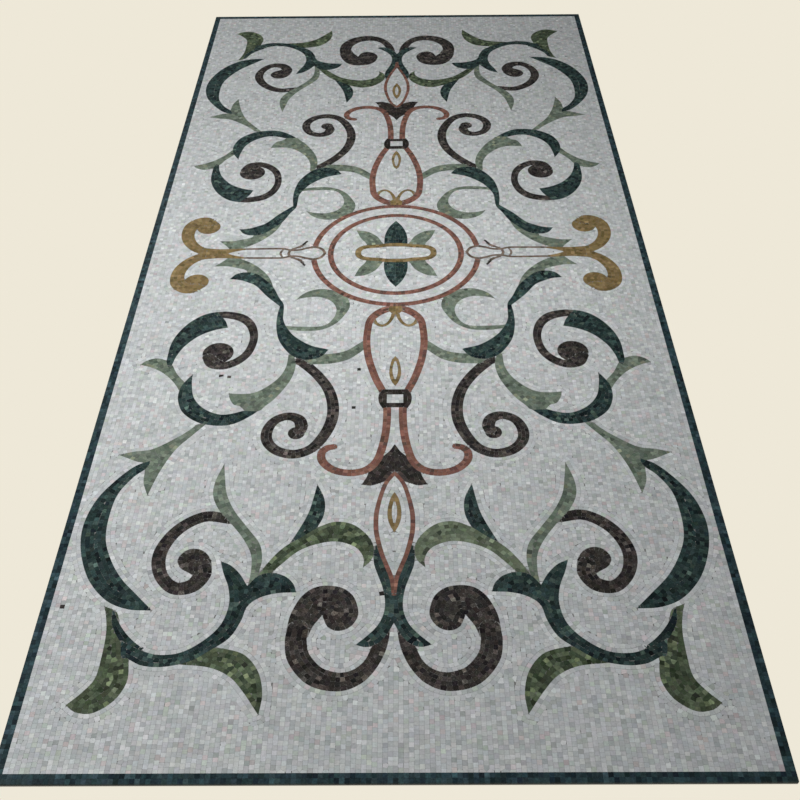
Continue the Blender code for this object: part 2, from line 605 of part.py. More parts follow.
def lay_ends(inlay, stones):
    for end, mirror in ENDS:
        vase = [(VASE_NECK, stones["ochre"])]
        clasp = [(BUCKLE, stones["black"], BUCKLE_WINDOW)]
        for flip in (1, -1):
            vase += [(flipped(VASE_SIDE, (flip, 1)), stones["rust"]),
                     (flipped(VASE_LOOP, (flip, 1)), stones["ochre"])]
            clasp.append((flipped(STRAND, (flip, 1)), stones["rust"]))
        clasp.append((TREFOIL, stones["black"]))
        almond = [(flipped(ALMOND_SIDE, (flip, 1)), stones["rust"]) for flip in (1, -1)]
        inlay.lay(f"almond_{end}", almond, (1, mirror))
        inlay.lay(f"almond_lozenge_{end}", [(ALMOND_LOZENGE, stones["ochre"])], (1, mirror))
        inlay.lay(f"clasp_{end}", clasp, (1, mirror))
        inlay.lay(f"vase_{end}", vase, (1, mirror))
        inlay.lay(f"vase_lozenge_{end}", [(VASE_LOZENGE, stones["ochre"])], (1, mirror))
        inlay.lay(f"stem_{end}", [(STEM, stones["dark green"])], (1, mirror))


def lay_quarters(inlay, stones):
    figures = {
        "side_spray": [(S_LEAF, "dark green"), (SIDE_LEAF, "sage"), (HOOK, "sage"), (VASE_BAND, "sage")],
        "middle_spray": [(LOWER_CRESCENT, "dark green"), (FORK_LEAF, "sage"), (ARCH_LEAF, "sage"),
                         (ARCH, "dark green")],
        "outer_spray": [(BIG_CRESCENT, "dark green"), (OUTER_FORK, "sage")],
        "corner_spray": [(CORNER_STEM, "dark green"), (LONG_LEAF, "sage"), (OLIVE_ARCH, "olive"),
                         (DARK_LEAF, "dark green"), (OLIVE_HOOK, "olive"), (OLIVE_LEAF, "olive")],
        "large_scroll": [(LARGE_SCROLL, "brown"), (LARGE_SCROLL_HEAD, "brown")],
        "middle_scroll": [(MIDDLE_SCROLL, "brown"), (MIDDLE_SCROLL_HEAD, "brown")],
        "small_scroll": [(SMALL_SCROLL, "brown"), (SMALL_SCROLL_HEAD, "brown")],
        "end_scroll": [(END_SCROLL, "brown"), (END_SCROLL_HEAD, "brown")],
    }
    for figure, shapes in figures.items():
        for quarter, mirror_x, mirror_y in QUARTERS:
            inlay.lay(f"{figure}_{quarter}", [(outline, stones[colour]) for outline, colour in shapes],
                      (mirror_x, mirror_y))


def clear_scene():
    for item in list(bpy.data.objects):
        bpy.data.objects.remove(item, do_unlink=True)


def main():
    clear_scene()
    colours = {"pale grey": PALE_GREY, "dark green": DARK_GREEN, "border green": BORDER_GREEN,
               "sage": SAGE, "olive": OLIVE, "brown": BROWN, "rust": RUST, "ochre": OCHRE, "black": BLACK}
    stones = {name: stone(name, colour) for name, colour in colours.items()}
    inlay = Inlay()
    lay_sides(inlay, stones)
    lay_centre(inlay, stones)
    lay_ends(inlay, stones)
    lay_quarters(inlay, stones)
    make_border(stones["border green"])
    make_field(stones["pale grey"], inlay.pockets)


main()
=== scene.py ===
# The looks of the stone mosaic floor panel: every tessera in its own stone, on a mortar bed.
# The picture is drawn once, for the quarter with positive x and y, and mirrored to the other three.

import math
import random

import bpy
import numpy as np
from mathutils import Matrix, Vector, kdtree


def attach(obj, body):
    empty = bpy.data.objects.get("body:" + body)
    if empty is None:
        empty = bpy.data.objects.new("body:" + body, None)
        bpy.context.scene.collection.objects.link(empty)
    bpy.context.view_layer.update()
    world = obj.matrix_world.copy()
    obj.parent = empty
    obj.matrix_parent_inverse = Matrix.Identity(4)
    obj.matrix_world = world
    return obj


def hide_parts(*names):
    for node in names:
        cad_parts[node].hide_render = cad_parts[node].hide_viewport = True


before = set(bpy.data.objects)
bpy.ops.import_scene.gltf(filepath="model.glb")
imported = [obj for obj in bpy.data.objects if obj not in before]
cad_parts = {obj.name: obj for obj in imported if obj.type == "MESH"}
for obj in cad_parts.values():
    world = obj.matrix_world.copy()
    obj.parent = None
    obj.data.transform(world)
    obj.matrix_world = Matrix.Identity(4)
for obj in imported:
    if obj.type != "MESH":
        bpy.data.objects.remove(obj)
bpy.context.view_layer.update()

# The panel, in metres
PANEL_WIDTH = 1.500
PANEL_LENGTH = 3.300
PANEL_THICKNESS = 0.010
SQUARE = 0.010
STONE_DEPTH = 0.0056
GROUT_DEPTH = 0.0005
MOST_DROP = 0.00016
MOST_TILT = 0.006

# How far the mortar bed stays inside the panel's edges, and the floor under the panel, in metres
BED_MARGIN = 0.0004
FLOOR_DROP = 0.0006

# The layout, in squares: one square is one tessera
HALF_ACROSS = 75
HALF_ALONG = 165
BORDER_ROWS = 2
SAMPLE_STEP = 0.2

# Half the width of the joints between stones, along a row and between rows
JOINT = 0.012
PALE_JOINTS = (JOINT, 0.017)
DARK_JOINTS = (JOINT, JOINT)

# The rows that follow an outline: how many, and how many of them on the ground
MOST_ROWS = 5
CONTOUR_ROWS = 2
# How close the middles of two stones may come in a band or disc, and elsewhere
BAND_SPACING = 0.62
STONE_SPACING = 0.8
ROW_STEP_SQUARED = 0.96
# How much nearer to an outline than its own depth a row may lie, and how far straight columns stay away
ROW_SLACK = 0.09
COLUMN_MARGIN = 0.3
COLUMN_JITTER = 0.12
# A stone's middle stays this far from the mirror lines
AXIS_MARGIN = 0.12
# The grid of places tried for odd stones in gaps, and how far those stay from an outline
GAP_STEP = 0.3
GAP_START = 0.2
GAP_MARGIN = 0.15

# A stone's half side before it is cut, and how many times that its neighbours are looked for
STONE_REACH = 1.05
NEIGHBOUR_REACH = 2.2
# The least area of a stone that is laid
SMALLEST_STONE = 0.04
# Two stones lie in rows if the cosine of their turn is above this one: in one row if they are nearer
# across it than SAME_ROW, and in rows side by side if they are further than NEXT_ROW
SAME_TURN = 0.98
SAME_ROW = 0.35
NEXT_ROW = 0.8
# How far away an outline cuts a stone, how slanting later cuts may be, and the cosine of two that are one
EDGE_REACH = 1.6
MOST_ALONG = 0.3
SAME_WAY = 0.95
# Which side of an outline is seen: how far off it is looked at, and how far past the mirror lines
LOOK_ASIDE = 0.06
PAST_AXIS = 1.5
# Corners that reach into another shape are drawn back step by step
DRAW_STEPS = 7
DRAW_SHARE = 0.86
CORNER_TEST = 0.95

QUARTERS = (("right_far", 1, 1), ("left_far", -1, 1), ("left_near", -1, -1), ("right_near", 1, -1))


def smooth(knots):
    """A Catmull-Rom curve through the knots, sampled about every fifth of a square."""
    knots = np.array(knots, dtype=float)
    line = np.vstack([knots[0] * 2 - knots[1], knots, knots[-1] * 2 - knots[-2]])
    runs = []
    for a, b, c, d in zip(line, line[1:], line[2:], line[3:]):
        count = max(2, int(np.linalg.norm((c - b)[:2]) / SAMPLE_STEP))
        t = (np.arange(count) / count)[:, None]
        runs.append(0.5 * (2 * b + (c - a) * t + (2 * a - 5 * b + 4 * c - d) * t ** 2
                           + (3 * b - a - 3 * c + d) * t ** 3))
    runs.append(knots[-1:])
    return np.vstack(runs)


def leaf(*edges):
    """A figure of smooth edges. Each edge starts at a corner and ends where the next begins."""
    pairs = zip(edges, edges[1:] + edges[:1])
    return {"outline": np.vstack([smooth(list(edge) + [following[0]])[:-1] for edge, following in pairs])}


def half_leaf(*edges):
    """A figure on the length axis, drawn by its edges at x >= 0 from one axis point to the other."""
    runs = []
    for index, edge in enumerate(edges):
        following = [edges[index + 1][0]] if index + 1 < len(edges) else []
        run = smooth(list(edge) + following)
        runs.append(run[:-1] if following else run)
    half = np.vstack(runs)
    return {"outline": np.vstack([half, (half * (-1, 1))[-2:0:-1]])}


def band(*knots, round_end=True):
    """A band along a smooth centre line. A knot is x, y and the half width there."""
    line = smooth(knots)
    along = np.gradient(line[:, :2], axis=0)
    along /= np.linalg.norm(along, axis=1)[:, None]
    normal = np.column_stack([-along[:, 1], along[:, 0]])
    left = line[:, :2] + normal * line[:, 2:]
    right = line[:, :2] - normal * line[:, 2:]
    cap = []
    if round_end:
        angles = np.linspace(0, math.pi, max(4, int(line[-1, 2] * math.pi / SAMPLE_STEP)))[1:-1, None]
        cap = [line[-1, :2] + line[-1, 2] * (normal[-1] * np.cos(angles) + along[-1] * np.sin(angles))]
    return {"outline": np.vstack([left] + cap + [right[::-1]]), "line": line, "along": along}


def disc(x, y, radius):
    angles = np.arange(0, 2 * math.pi, SAMPLE_STEP / radius)
    return {"outline": np.column_stack([x + radius * np.cos(angles), y + radius * np.sin(angles)]),
            "centre": (x, y), "radius": radius}


def ring(radius, half_width, start, end):
    """Part of a ring about the middle of the panel, between two angles in degrees."""
    angles = np.radians(np.linspace(start, end, 12))
    return band(*[(radius * math.cos(angle), radius * math.sin(angle), half_width) for angle in angles])


OUTER_RING_RADIUS = 24.6
RING_WIDTH = 1.7
RING_EDGE = OUTER_RING_RADIUS + RING_WIDTH / 2
INNER_RING_RADIUS = 19.5
HOOK_ANGLE = math.radians(56.3)


def from_rim(angle, *points):
    """Points drawn from the place on the outer ring's edge at an angle, as points of the cartoon."""
    return [(RING_EDGE * math.cos(angle) + x, RING_EDGE * math.sin(angle) + y) for x, y in points]


# The figures of one quarter, in squares. A spray is several leaves of its own stones, grown together.
S_LEAF = leaf(
    [(48.3, 12.5), (46.6, 10.1), (44.0, 9.3), (41.0, 9.9), (38.0, 12.8), (35.2, 16.6), (33.3, 21.0),
     (31.7, 24.2), (31.4, 27.5), (31.2, 31.0), (29.9, 34.6), (27.4, 38.3), (23.0, 41.9)],
    [(17.9, 43.7), (20.3, 46.9), (24.5, 47.7), (28.3, 45.4), (31.6, 40.0), (32.9, 34.0), (33.0, 28.5)],
    [(32.6, 25.2), (34.1, 23.6), (36.9, 20.4), (40.2, 15.9), (42.7, 14.2), (45.2, 13.0)])
SIDE_LEAF = leaf(
    [(35.0, 17.2), (36.6, 12.4), (39.0, 8.6), (42.3, 5.2), (46.0, 2.9)],
    [(50.0, 2.2), (51.4, 4.0)],
    [(53.6, 6.4), (50.0, 6.3), (47.0, 7.1), (44.0, 8.3), (43.2, 10.4)],
    [(40.5, 12.2), (37.6, 14.6)])
HOOK = leaf(
    [(32.0, 34.6)] + from_rim(
        HOOK_ANGLE, (11.88, 14.73), (6.38, 14.33), (2.38, 11.63), (-0.22, 7.33), (-1.22, 3.83),
        (-0.12, -0.17), (3.28, -2.67), (6.88, -3.77), (10.2, -3.0), (12.6, -1.2)),
    from_rim(
        HOOK_ANGLE, (14.3, 1.3), (12.7, 0.5), (10.2, -0.1), (7.08, 0.03), (3.88, 2.13), (2.48, 5.83),
        (3.48, 10.03), (6.18, 12.73), (11.88, 12.93)),
    [(32.0, 33.6)])
VASE_BAND = leaf(
    [(7.6, 39.0), (10.0, 41.4), (13.2, 44.2), (17.0, 45.4)],
    [(22.0, 45.8), (25.0, 47.0)],
    [(22.4, 49.6), (17.0, 49.3), (12.8, 47.9), (10.0, 45.5)],
    [(7.6, 42.8)])
LARGE_SCROLL = band(
    (25.2, 48.2, 1.6), (23.0, 50.6, 1.5), (19.9, 54.5, 1.45), (17.2, 59.4, 1.45), (15.8, 65.0, 1.5),
    (15.9, 70.6, 1.5), (17.6, 75.9, 1.45), (20.4, 80.2, 1.4), (24.4, 82.0, 1.45), (28.6, 80.9, 1.4),
    (31.3, 77.8, 1.4), (31.7, 74.0, 1.4), (30.0, 70.4, 1.3), (26.8, 69.0, 1.35), (24.2, 70.1, 1.55),
    (23.3, 72.4, 1.6), (23.6, 73.9, 1.6))
LARGE_SCROLL_HEAD = disc(24.4, 74.9, 2.1)
FORK_LEAF = leaf(
    [(27.2, 46.0), (26.4, 50.0), (27.0, 54.5), (28.6, 58.6), (30.9, 62.7)],
    [(33.2, 65.5), (34.5, 67.0)],
    [(38.0, 67.0), (39.5, 65.3), (41.2, 64.6), (42.5, 62.2)],
    [(42.8, 60.5), (40.0, 60.8), (36.5, 60.4), (33.3, 58.2), (30.4, 54.6), (28.9, 50.5)],
    [(28.6, 45.6)])
LOWER_CRESCENT = leaf(
    [(32.8, 65.0), (36.4, 68.8), (40.4, 71.6), (44.5, 72.2), (49.4, 71.0), (53.6, 67.6), (55.6, 63.0),
     (55.7, 58.5), (54.5, 55.5)],
    [(53.2, 53.2), (52.9, 57.0), (51.6, 62.2), (48.4, 66.2), (43.8, 68.3), (39.0, 67.2), (35.8, 65.3)])
ARCH_LEAF = leaf(
    [(67.7, 49.4), (66.4, 47.9), (64.0, 46.9), (61.4, 47.6), (59.3, 49.4), (57.4, 53.0)],
    [(54.4, 57.0), (54.6, 60.6)],
    [(55.6, 59.8), (58.0, 56.0), (61.0, 52.8), (64.4, 50.6)])
ARCH = leaf(
    [(50.0, 27.5), (52.2, 28.1), (54.6, 29.5), (57.4, 32.5), (59.7, 36.8), (60.9, 41.6)],
    [(61.0, 48.2), (60.2, 50.2)],
    [(59.3, 49.8), (58.6, 46.0), (57.0, 42.0), (53.8, 37.9), (50.0, 35.5)],
    [(46.2, 34.3), (47.4, 31.2)])
MIDDLE_SCROLL = band(
    (49.6, 28.9, 1.3), (47.2, 28.8, 1.45), (43.0, 30.1, 1.5), (40.2, 33.0, 1.3), (38.8, 37.0, 1.15),
    (38.7, 41.0, 1.1), (39.8, 45.2, 1.2), (42.2, 48.3, 1.3), (45.4, 49.9, 1.5), (48.3, 48.9, 2.0),
    (50.0, 46.6, 1.6))
MIDDLE_SCROLL_HEAD = disc(47.6, 44.9, 4.15)
OUTER_FORK = leaf(
    [(47.2, 71.6), (50.2, 75.6), (53.2, 79.8), (55.4, 85.0), (56.8, 90.0)],
    [(57.8, 95.0), (59.4, 91.0), (59.8, 87.0)],
    [(60.2, 84.6), (62.4, 84.1), (64.8, 83.0)],
    [(67.1, 81.9), (63.5, 80.9), (59.0, 80.0), (54.0, 76.4), (51.2, 73.8)],
    [(49.6, 71.8)])
BIG_CRESCENT = leaf(
    [(58.9, 83.9), (62.5, 85.8), (66.3, 90.4), (69.3, 95.8), (70.7, 101.5), (70.7, 107.0),
     (69.2, 113.0), (66.2, 119.2), (61.6, 124.2), (56.6, 126.5)],
    [(51.2, 126.9), (55.0, 123.1), (59.5, 118.4), (62.9, 113.0), (65.0, 107.5), (65.5, 101.0),
     (64.8, 94.5), (62.2, 89.3), (59.6, 86.4)])
SMALL_SCROLL = band(
    (37.8, 102.2, 1.3), (42.5, 101.3, 1.5), (46.2, 102.7, 1.5), (49.5, 105.8, 1.5),
    (51.6, 110.0, 1.55), (52.0, 114.0, 1.55), (50.6, 118.2, 1.45), (47.4, 121.2, 1.55),
    (43.7, 120.6, 1.8), (41.8, 117.6, 1.9), (42.3, 115.2, 1.9))
SMALL_SCROLL_HEAD = leaf(
    [(40.0, 117.6), (40.0, 115.6), (40.7, 113.3), (42.1, 111.5), (44.0, 110.6), (46.0, 110.9),
     (47.4, 112.3), (47.8, 114.0), (46.9, 115.8), (45.5, 116.8)],
    [(44.1, 117.6), (43.2, 119.0)])
LONG_LEAF = leaf(
    [(41.0, 85.0), (42.4, 90.5), (42.4, 95.0), (40.6, 99.2), (37.4, 103.2), (34.0, 107.8),
     (31.8, 112.2), (31.3, 116.5)],
    [(31.6, 121.5), (30.2, 120.8)],
    [(29.6, 117.5), (29.2, 113.5), (30.2, 109.2), (33.4, 104.6), (36.8, 99.8), (39.2, 94.8),
     (40.3, 89.5)])
DARK_LEAF = leaf(
    [(18.2, 91.6), (18.8, 95.5), (19.7, 100.2), (21.3, 104.6)],
    [(23.2, 108.8), (20.4, 108.2), (17.8, 105.1), (16.2, 101.0), (16.3, 96.4)])
OLIVE_ARCH = leaf(
    [(30.4, 119.2), (27.2, 113.6), (24.4, 110.1), (20.8, 107.4), (17.6, 104.9), (13.6, 103.1),
     (9.6, 103.8), (6.4, 106.6), (4.7, 109.8), (4.8, 113.4)],
    [(6.8, 116.0), (6.8, 113.2), (8.6, 110.4), (12.4, 108.8), (16.6, 109.2), (21.2, 111.3),
     (25.2, 115.4)],
    [(28.4, 119.2)])
CORNER_STEM = leaf(
    [(21.0, 122.4), (21.8, 120.2), (23.6, 118.3), (26.4, 117.3), (29.4, 117.9)],
    [(31.7, 120.7), (33.6, 117.6), (35.8, 115.3)],
    [(38.3, 114.0), (37.2, 117.4), (35.7, 121.2), (35.1, 125.6), (36.2, 130.4), (39.2, 134.2),
     (43.6, 137.1), (48.4, 137.6), (52.6, 136.2)],
    [(56.4, 134.2), (55.6, 138.0)],
    [(54.4, 138.4), (51.0, 140.1), (46.6, 140.4), (41.6, 139.2), (37.6, 136.6), (34.0, 133.6),
     (32.1, 129.6), (31.1, 125.9), (28.6, 123.7), (25.0, 122.6)])
OLIVE_HOOK = leaf(
    [(61.6, 125.7), (58.6, 127.3), (57.2, 131.0), (55.3, 134.9), (53.8, 139.6), (53.4, 144.0),
     (55.2, 148.0), (58.8, 150.6), (62.2, 150.4)],
    [(64.4, 148.9), (61.8, 146.1), (59.9, 142.9), (59.6, 138.0), (59.8, 132.6), (60.6, 128.6)])
OLIVE_LEAF = leaf(
    [(26.3, 151.2), (26.0, 146.5), (27.3, 141.6), (30.4, 137.8), (34.6, 136.3)],
    [(38.4, 136.0), (42.0, 138.0)],
    [(43.4, 139.9), (37.4, 140.6), (33.0, 142.7), (29.8, 146.2)])
END_SCROLL = band(
    (1.2, 131.0, 0.5), (2.1, 133.8, 1.15), (3.2, 136.8, 1.5), (4.8, 140.2, 1.5), (7.5, 142.9, 1.8),
    (11.2, 144.0, 2.1), (15.9, 142.6, 2.3), (19.3, 138.6, 2.3), (20.2, 134.6, 2.25),
    (20.0, 131.6, 2.2))
END_SCROLL_HEAD = leaf(
    [(22.4, 133.0), (22.0, 129.0), (21.1, 126.1), (19.6, 123.3), (17.3, 121.3), (14.4, 120.7),
     (11.2, 121.3), (8.9, 123.2), (7.8, 125.8), (7.6, 128.6), (9.2, 131.2), (11.6, 132.1),
     (13.8, 131.1)],
    [(15.1, 128.2), (16.9, 131.0)],
    [(17.8, 133.6)])

# The figures on the width axis at one side, in squares
CURL = band(
    (54.0, 0.8, 1.6), (57.8, 1.35, 1.65), (60.9, 3.5, 1.75), (63.0, 6.8, 1.9), (63.8, 10.4, 2.0),
    (63.2, 14.2, 2.15), (61.2, 16.4, 2.2), (58.9, 16.9, 2.1), (56.8, 16.0, 1.3))
CURL_HEAD = disc(57.9, 13.8, 3.6)
CURL_BAR = leaf(
    [(50.4, 0.0), (48.0, 1.05)],
    [(45.2, 1.85)],
    [(45.3, 2.65), (48.5, 2.4), (52.0, 2.25), (55.0, 2.4)],
    [(58.0, 2.9)],
    [(58.0, -2.9), (55.0, -2.4), (52.0, -2.25), (48.5, -2.4)],
    [(45.3, -2.65)],
    [(45.2, -1.85), (48.0, -1.05)])
SPEAR_LINE = band(
    (45.7, 2.16, 0.26), (44.0, 2.25, 0.42), (38.0, 2.35, 0.42),
    (RING_EDGE + 8.55, 2.3, 0.42), (RING_EDGE + 5.95, 1.5, 0.42), (RING_EDGE + 3.35, 1.7, 0.42),
    (RING_EDGE + 1.35, 2.5, 0.45), (RING_EDGE - 1.05, 3.0, 0.45), (RING_EDGE - 3.05, 2.2, 0.45),
    (RING_EDGE - 4.15, 0.2, 0.42), (RING_EDGE - 4.25, -0.6, 0.42))

# The figures on the length axis at one end, in squares
VASE_SIDE = band(
    (0.6, RING_EDGE + 0.95, 1.1), (3.0, RING_EDGE + 1.55, 1.3), (5.6, RING_EDGE + 3.75, 1.2),
    (7.1, RING_EDGE + 6.35, 1.05), (7.6, 35.5, 1.0),
    (7.8, 39.5, 1.0), (7.6, 43.5, 1.0), (7.0, 47.8, 1.0), (6.0, 52.0, 1.0), (4.8, 56.0, 1.0),
    (3.2, 60.0, 1.0), round_end=False)
VASE_LOOP = band(
    (0.4, RING_EDGE + 2.15, 0.6), (1.0, RING_EDGE + 5.15, 0.5), (2.2, RING_EDGE + 7.55, 0.45),
    (3.7, RING_EDGE + 8.45, 0.5), (5.2, RING_EDGE + 7.55, 0.5), (6.0, RING_EDGE + 5.55, 0.5))
VASE_NECK = half_leaf(
    [(0.0, RING_EDGE - 0.55)],
    [(1.7, RING_EDGE - 0.55)],
    [(2.0, RING_EDGE + 1.95), (1.0, RING_EDGE + 3.15), (0.0, RING_EDGE + 3.75)])
VASE_LOZENGE = half_leaf([(0.0, 46.5), (0.9, 48.0), (1.5, 51.5), (1.5, 54.0), (0.9, 56.4), (0.0, 58.2)])
BUCKLE = half_leaf(
    [(0.0, 59.4)],
    [(3.2, 59.4), (4.2, 61.6), (4.1, 64.2)],
    [(3.2, 66.3)],
    [(2.4, 66.0), (0.0, 66.0)])
BUCKLE_WINDOW = half_leaf(
    [(0.0, 61.3)],
    [(2.1, 61.3)],
    [(2.1, 64.4), (0.0, 64.4)])
STRAND = band(
    (2.0, 65.0, 1.0), (2.0, 70.0, 1.0), (2.3, 75.0, 1.0), (3.1, 80.0, 1.0), (4.4, 84.4, 1.0),
    (6.8, 87.2, 1.05), (10.6, 88.2, 1.05), (14.6, 87.2, 1.05), (17.3, 84.6, 1.05),
    (17.8, 81.8, 1.0), (16.6, 80.1, 0.95), (14.9, 79.6, 0.9))
TREFOIL = half_leaf(
    [(0.0, 78.8), (1.4, 81.3), (3.3, 83.4), (5.5, 86.0), (6.6, 89.4)],
    [(7.8, 91.9), (5.6, 92.2), (3.4, 91.4), (2.2, 90.7)],
    [(1.3, 90.2), (0.0, 88.7)])
ALMOND_SIDE = band(
    (0.0, 88.3, 0.5), (1.9, 91.2, 0.5), (3.1, 95.0, 0.5), (4.05, 100.0, 0.55), (4.2, 103.8, 0.55),
    (3.9, 107.2, 0.55), (2.8, 112.0, 0.5), (1.6, 115.6, 0.5), (0.5, 119.0, 0.5), (0.0, 122.9, 0.5))
ALMOND_LOZENGE = half_leaf([(0.0, 94.2), (1.0, 96.4), (1.6, 100.0), (1.3, 103.2), (0.0, 106.4)])
STEM = half_leaf(
    [(0.0, 121.0), (0.6, 118.6), (1.6, 115.5), (2.8, 112.0)],
    [(3.7, 108.9)],
    [(4.6, 111.6), (4.4, 115.0), (3.3, 118.6), (2.4, 121.5), (1.9, 125.0), (2.2, 128.0),
     (3.4, 130.8), (5.4, 133.2)],
    [(7.9, 135.5), (5.6, 136.0), (3.4, 135.2), (1.6, 133.2), (0.0, 130.2)])

# The figures inside the rings, in squares
LANCE_LEAF = half_leaf([(0.0, 3.0)], [(3.5, 3.0)], [(3.5, 7.5), (3.0, 10.5), (1.8, 13.8), (0.0, 16.6)])
RING_LEAF = leaf(
    [(8.6, 3.4), (9.2, 5.1), (10.8, 7.8)],
    [(12.1, 11.6), (8.8, 10.9), (5.8, 8.4), (4.2, 5.2)],
    [(3.0, 3.4)])
PILL = band(
    (-3.0, 3.8, 0.8), (0.0, 4.0, 0.8), (3.0, 3.8, 0.8), (5.0, 3.35, 0.8), (7.5, 3.15, 0.8), (9.7, 2.7, 0.85),
    (11.0, 1.5, 0.9), (11.3, 0.0, 0.9), (11.0, -1.5, 0.9))

# Small shapes that only the stones show, not the solids
VASE_SLIT = band(
    (0.1, 48.6, 0.1), (0.27, 50.2, 0.27), (0.36, 52.0, 0.36), (0.27, 54.0, 0.27), (0.1, 55.4, 0.1))
ALMOND_SLIT = band(
    (0.1, 97.2, 0.1), (0.26, 98.6, 0.26), (0.3, 100.2, 0.3), (0.26, 101.8, 0.26), (0.1, 103.4, 0.1))
SPEAR_KNOT = band((32.1, -1.0, 0.4), (32.1, 0.3, 0.4), (31.6, 1.5, 0.35))
SPEAR_COLLAR = band((34.5, -0.8, 0.35), (34.5, 0.4, 0.35), (34.0, 1.7, 0.3))
SPEAR_BARB = band((31.2, 2.1, 0.3), (28.5, 3.6, 0.5), (27.0, 6.0, 0.25))
BARB_TIP = band((28.1, 4.3, 0.35), (27.0, 6.0, 0.3))
STEM_END = band(
    (52.6, 136.6, 1.0), (54.6, 135.0, 1.0), (56.6, 132.8, 0.9), (58.4, 130.0, 0.7), (59.4, 127.0, 0.25))


# Every shape with its figure and stone, uppermost first where they cross
CARTOON = [
    ("field", "pale", BUCKLE_WINDOW),
    ("vase_lozenge", "pale", VASE_SLIT),
    ("almond_lozenge", "pale", ALMOND_SLIT),
    ("side_curls", "ochre", CURL_BAR),
    ("side_curls", "ochre", CURL),
    ("side_curls", "ochre", CURL_HEAD),
    ("spear", "black", BARB_TIP),
    ("spear", "taupe", SPEAR_LINE),
    ("spear", "taupe", SPEAR_KNOT),
    ("spear", "taupe", SPEAR_COLLAR),
    ("spear", "taupe", SPEAR_BARB),
    ("inner_ring", "rust", ring(INNER_RING_RADIUS, RING_WIDTH / 2, -12, 102)),
    ("outer_ring", "rust", ring(OUTER_RING_RADIUS, RING_WIDTH / 2, 9.2, 98)),
    ("pill_ring", "ochre", PILL),
    ("centre_spray", "dark green", LANCE_LEAF),
    ("centre_spray", "sage", RING_LEAF),
    ("almond", "rust", ALMOND_SIDE),
    ("almond_lozenge", "ochre", ALMOND_LOZENGE),
    ("clasp", "black", BUCKLE),
    ("clasp", "rust", STRAND),
    ("clasp", "black", TREFOIL),
    ("vase", "ochre", VASE_NECK),
    ("vase", "rust", VASE_SIDE),
    ("vase", "ochre", VASE_LOOP),
    ("vase_lozenge", "ochre", VASE_LOZENGE),
    ("stem", "dark green", STEM),
    ("side_spray", "dark green", S_LEAF),
    ("side_spray", "sage", SIDE_LEAF),
    ("side_spray", "sage", HOOK),
    ("side_spray", "sage", VASE_BAND),
    ("middle_spray", "sage", FORK_LEAF),
    ("middle_spray", "dark green", LOWER_CRESCENT),
    ("middle_spray", "dark green", ARCH),
    ("middle_spray", "sage", ARCH_LEAF),
    ("outer_spray", "dark green", BIG_CRESCENT),
    ("outer_spray", "sage", OUTER_FORK),
    ("corner_spray", "dark green", CORNER_STEM),
    ("corner_spray", "sage", LONG_LEAF),
    ("corner_spray", "arch olive", OLIVE_ARCH),
    ("corner_spray", "dark green", DARK_LEAF),
    ("corner_spray", "dark green", STEM_END),
    ("corner_spray", "olive", OLIVE_HOOK),
    ("corner_spray", "olive", OLIVE_LEAF),
    ("large_scroll", "brown", LARGE_SCROLL),
    ("large_scroll", "brown", LARGE_SCROLL_HEAD),
    ("middle_scroll", "brown", MIDDLE_SCROLL),
    ("middle_scroll", "brown", MIDDLE_SCROLL_HEAD),
    ("small_scroll", "brown", SMALL_SCROLL),
    ("small_scroll", "brown", SMALL_SCROLL_HEAD),
    ("end_scroll", "brown", END_SCROLL),
    ("end_scroll", "brown", END_SCROLL_HEAD),
]
WHOLE_FIGURES = ("inner_ring", "pill_ring")
END_FIGURES = (
    "outer_ring", "centre_spray", "almond", "almond_lozenge", "clasp", "vase", "vase_lozenge", "stem")
SIDE_FIGURES = ("side_curls", "spear")

# The stones of each kind: how often each turns up, and its colour in sRGB
STONES = {
    "pale": [(5, (184, 187, 188)), (3, (178, 182, 183)), (3, (190, 193, 192)), (1, (168, 173, 172)),
             (0.6, (187, 180, 180)), (0.6, (176, 184, 176))],
    "dark green": [(5, (40, 54, 53)), (3, (49, 64, 62)), (1.5, (28, 38, 40)), (0.8, (66, 82, 75))],
    "border": [(5, (40, 56, 60)), (3, (48, 64, 68)), (1, (30, 42, 48))],
    "sage": [(5, (98, 109, 97)), (3, (108, 118, 105)), (1.5, (87, 98, 87)), (0.6, (120, 126, 107))],
    "olive": [(4, (69, 79, 62)), (2, (83, 93, 74)), (1.5, (56, 66, 50)), (0.6, (102, 113, 86))],
    "light olive": [(5, (92, 102, 84)), (2, (102, 112, 94)), (1, (82, 92, 74))],
    "brown": [(5, (48, 45, 43)), (2.5, (60, 56, 53)), (1, (76, 71, 67)), (2, (36, 34, 34)),
              (0.06, (104, 100, 94))],
    "rust": [(5, (112, 79, 69)), (2, (122, 90, 79)), (1.5, (98, 70, 63)), (0.8, (84, 67, 60))],
    "ochre": [(5, (117, 100, 68)), (2, (129, 111, 79)), (1.5, (102, 88, 57))],
    "black": [(5, (40, 37, 35)), (2, (50, 46, 43)), (1, (60, 54, 50))],
    "taupe": [(5, (108, 94, 84)), (3, (94, 82, 72))],
    "white": [(1, (214, 214, 210))],
}
# The looks that all stones share: their shine, the range of the mottling and the rise of the veins
STONE_SPECULAR = 0.02
MOTTLE_RANGE = 0.25
VEIN_RISE = 0.06
# How far the shade strays from tessera to tessera, as a share of the colour
SHADE_SPREAD = {"pale": 0.04, "white": 0.02, "ochre": 0.06, "rust": 0.08, "sage": 0.09, "taupe": 0.08}
DARK_SHADE_SPREAD = 0.15
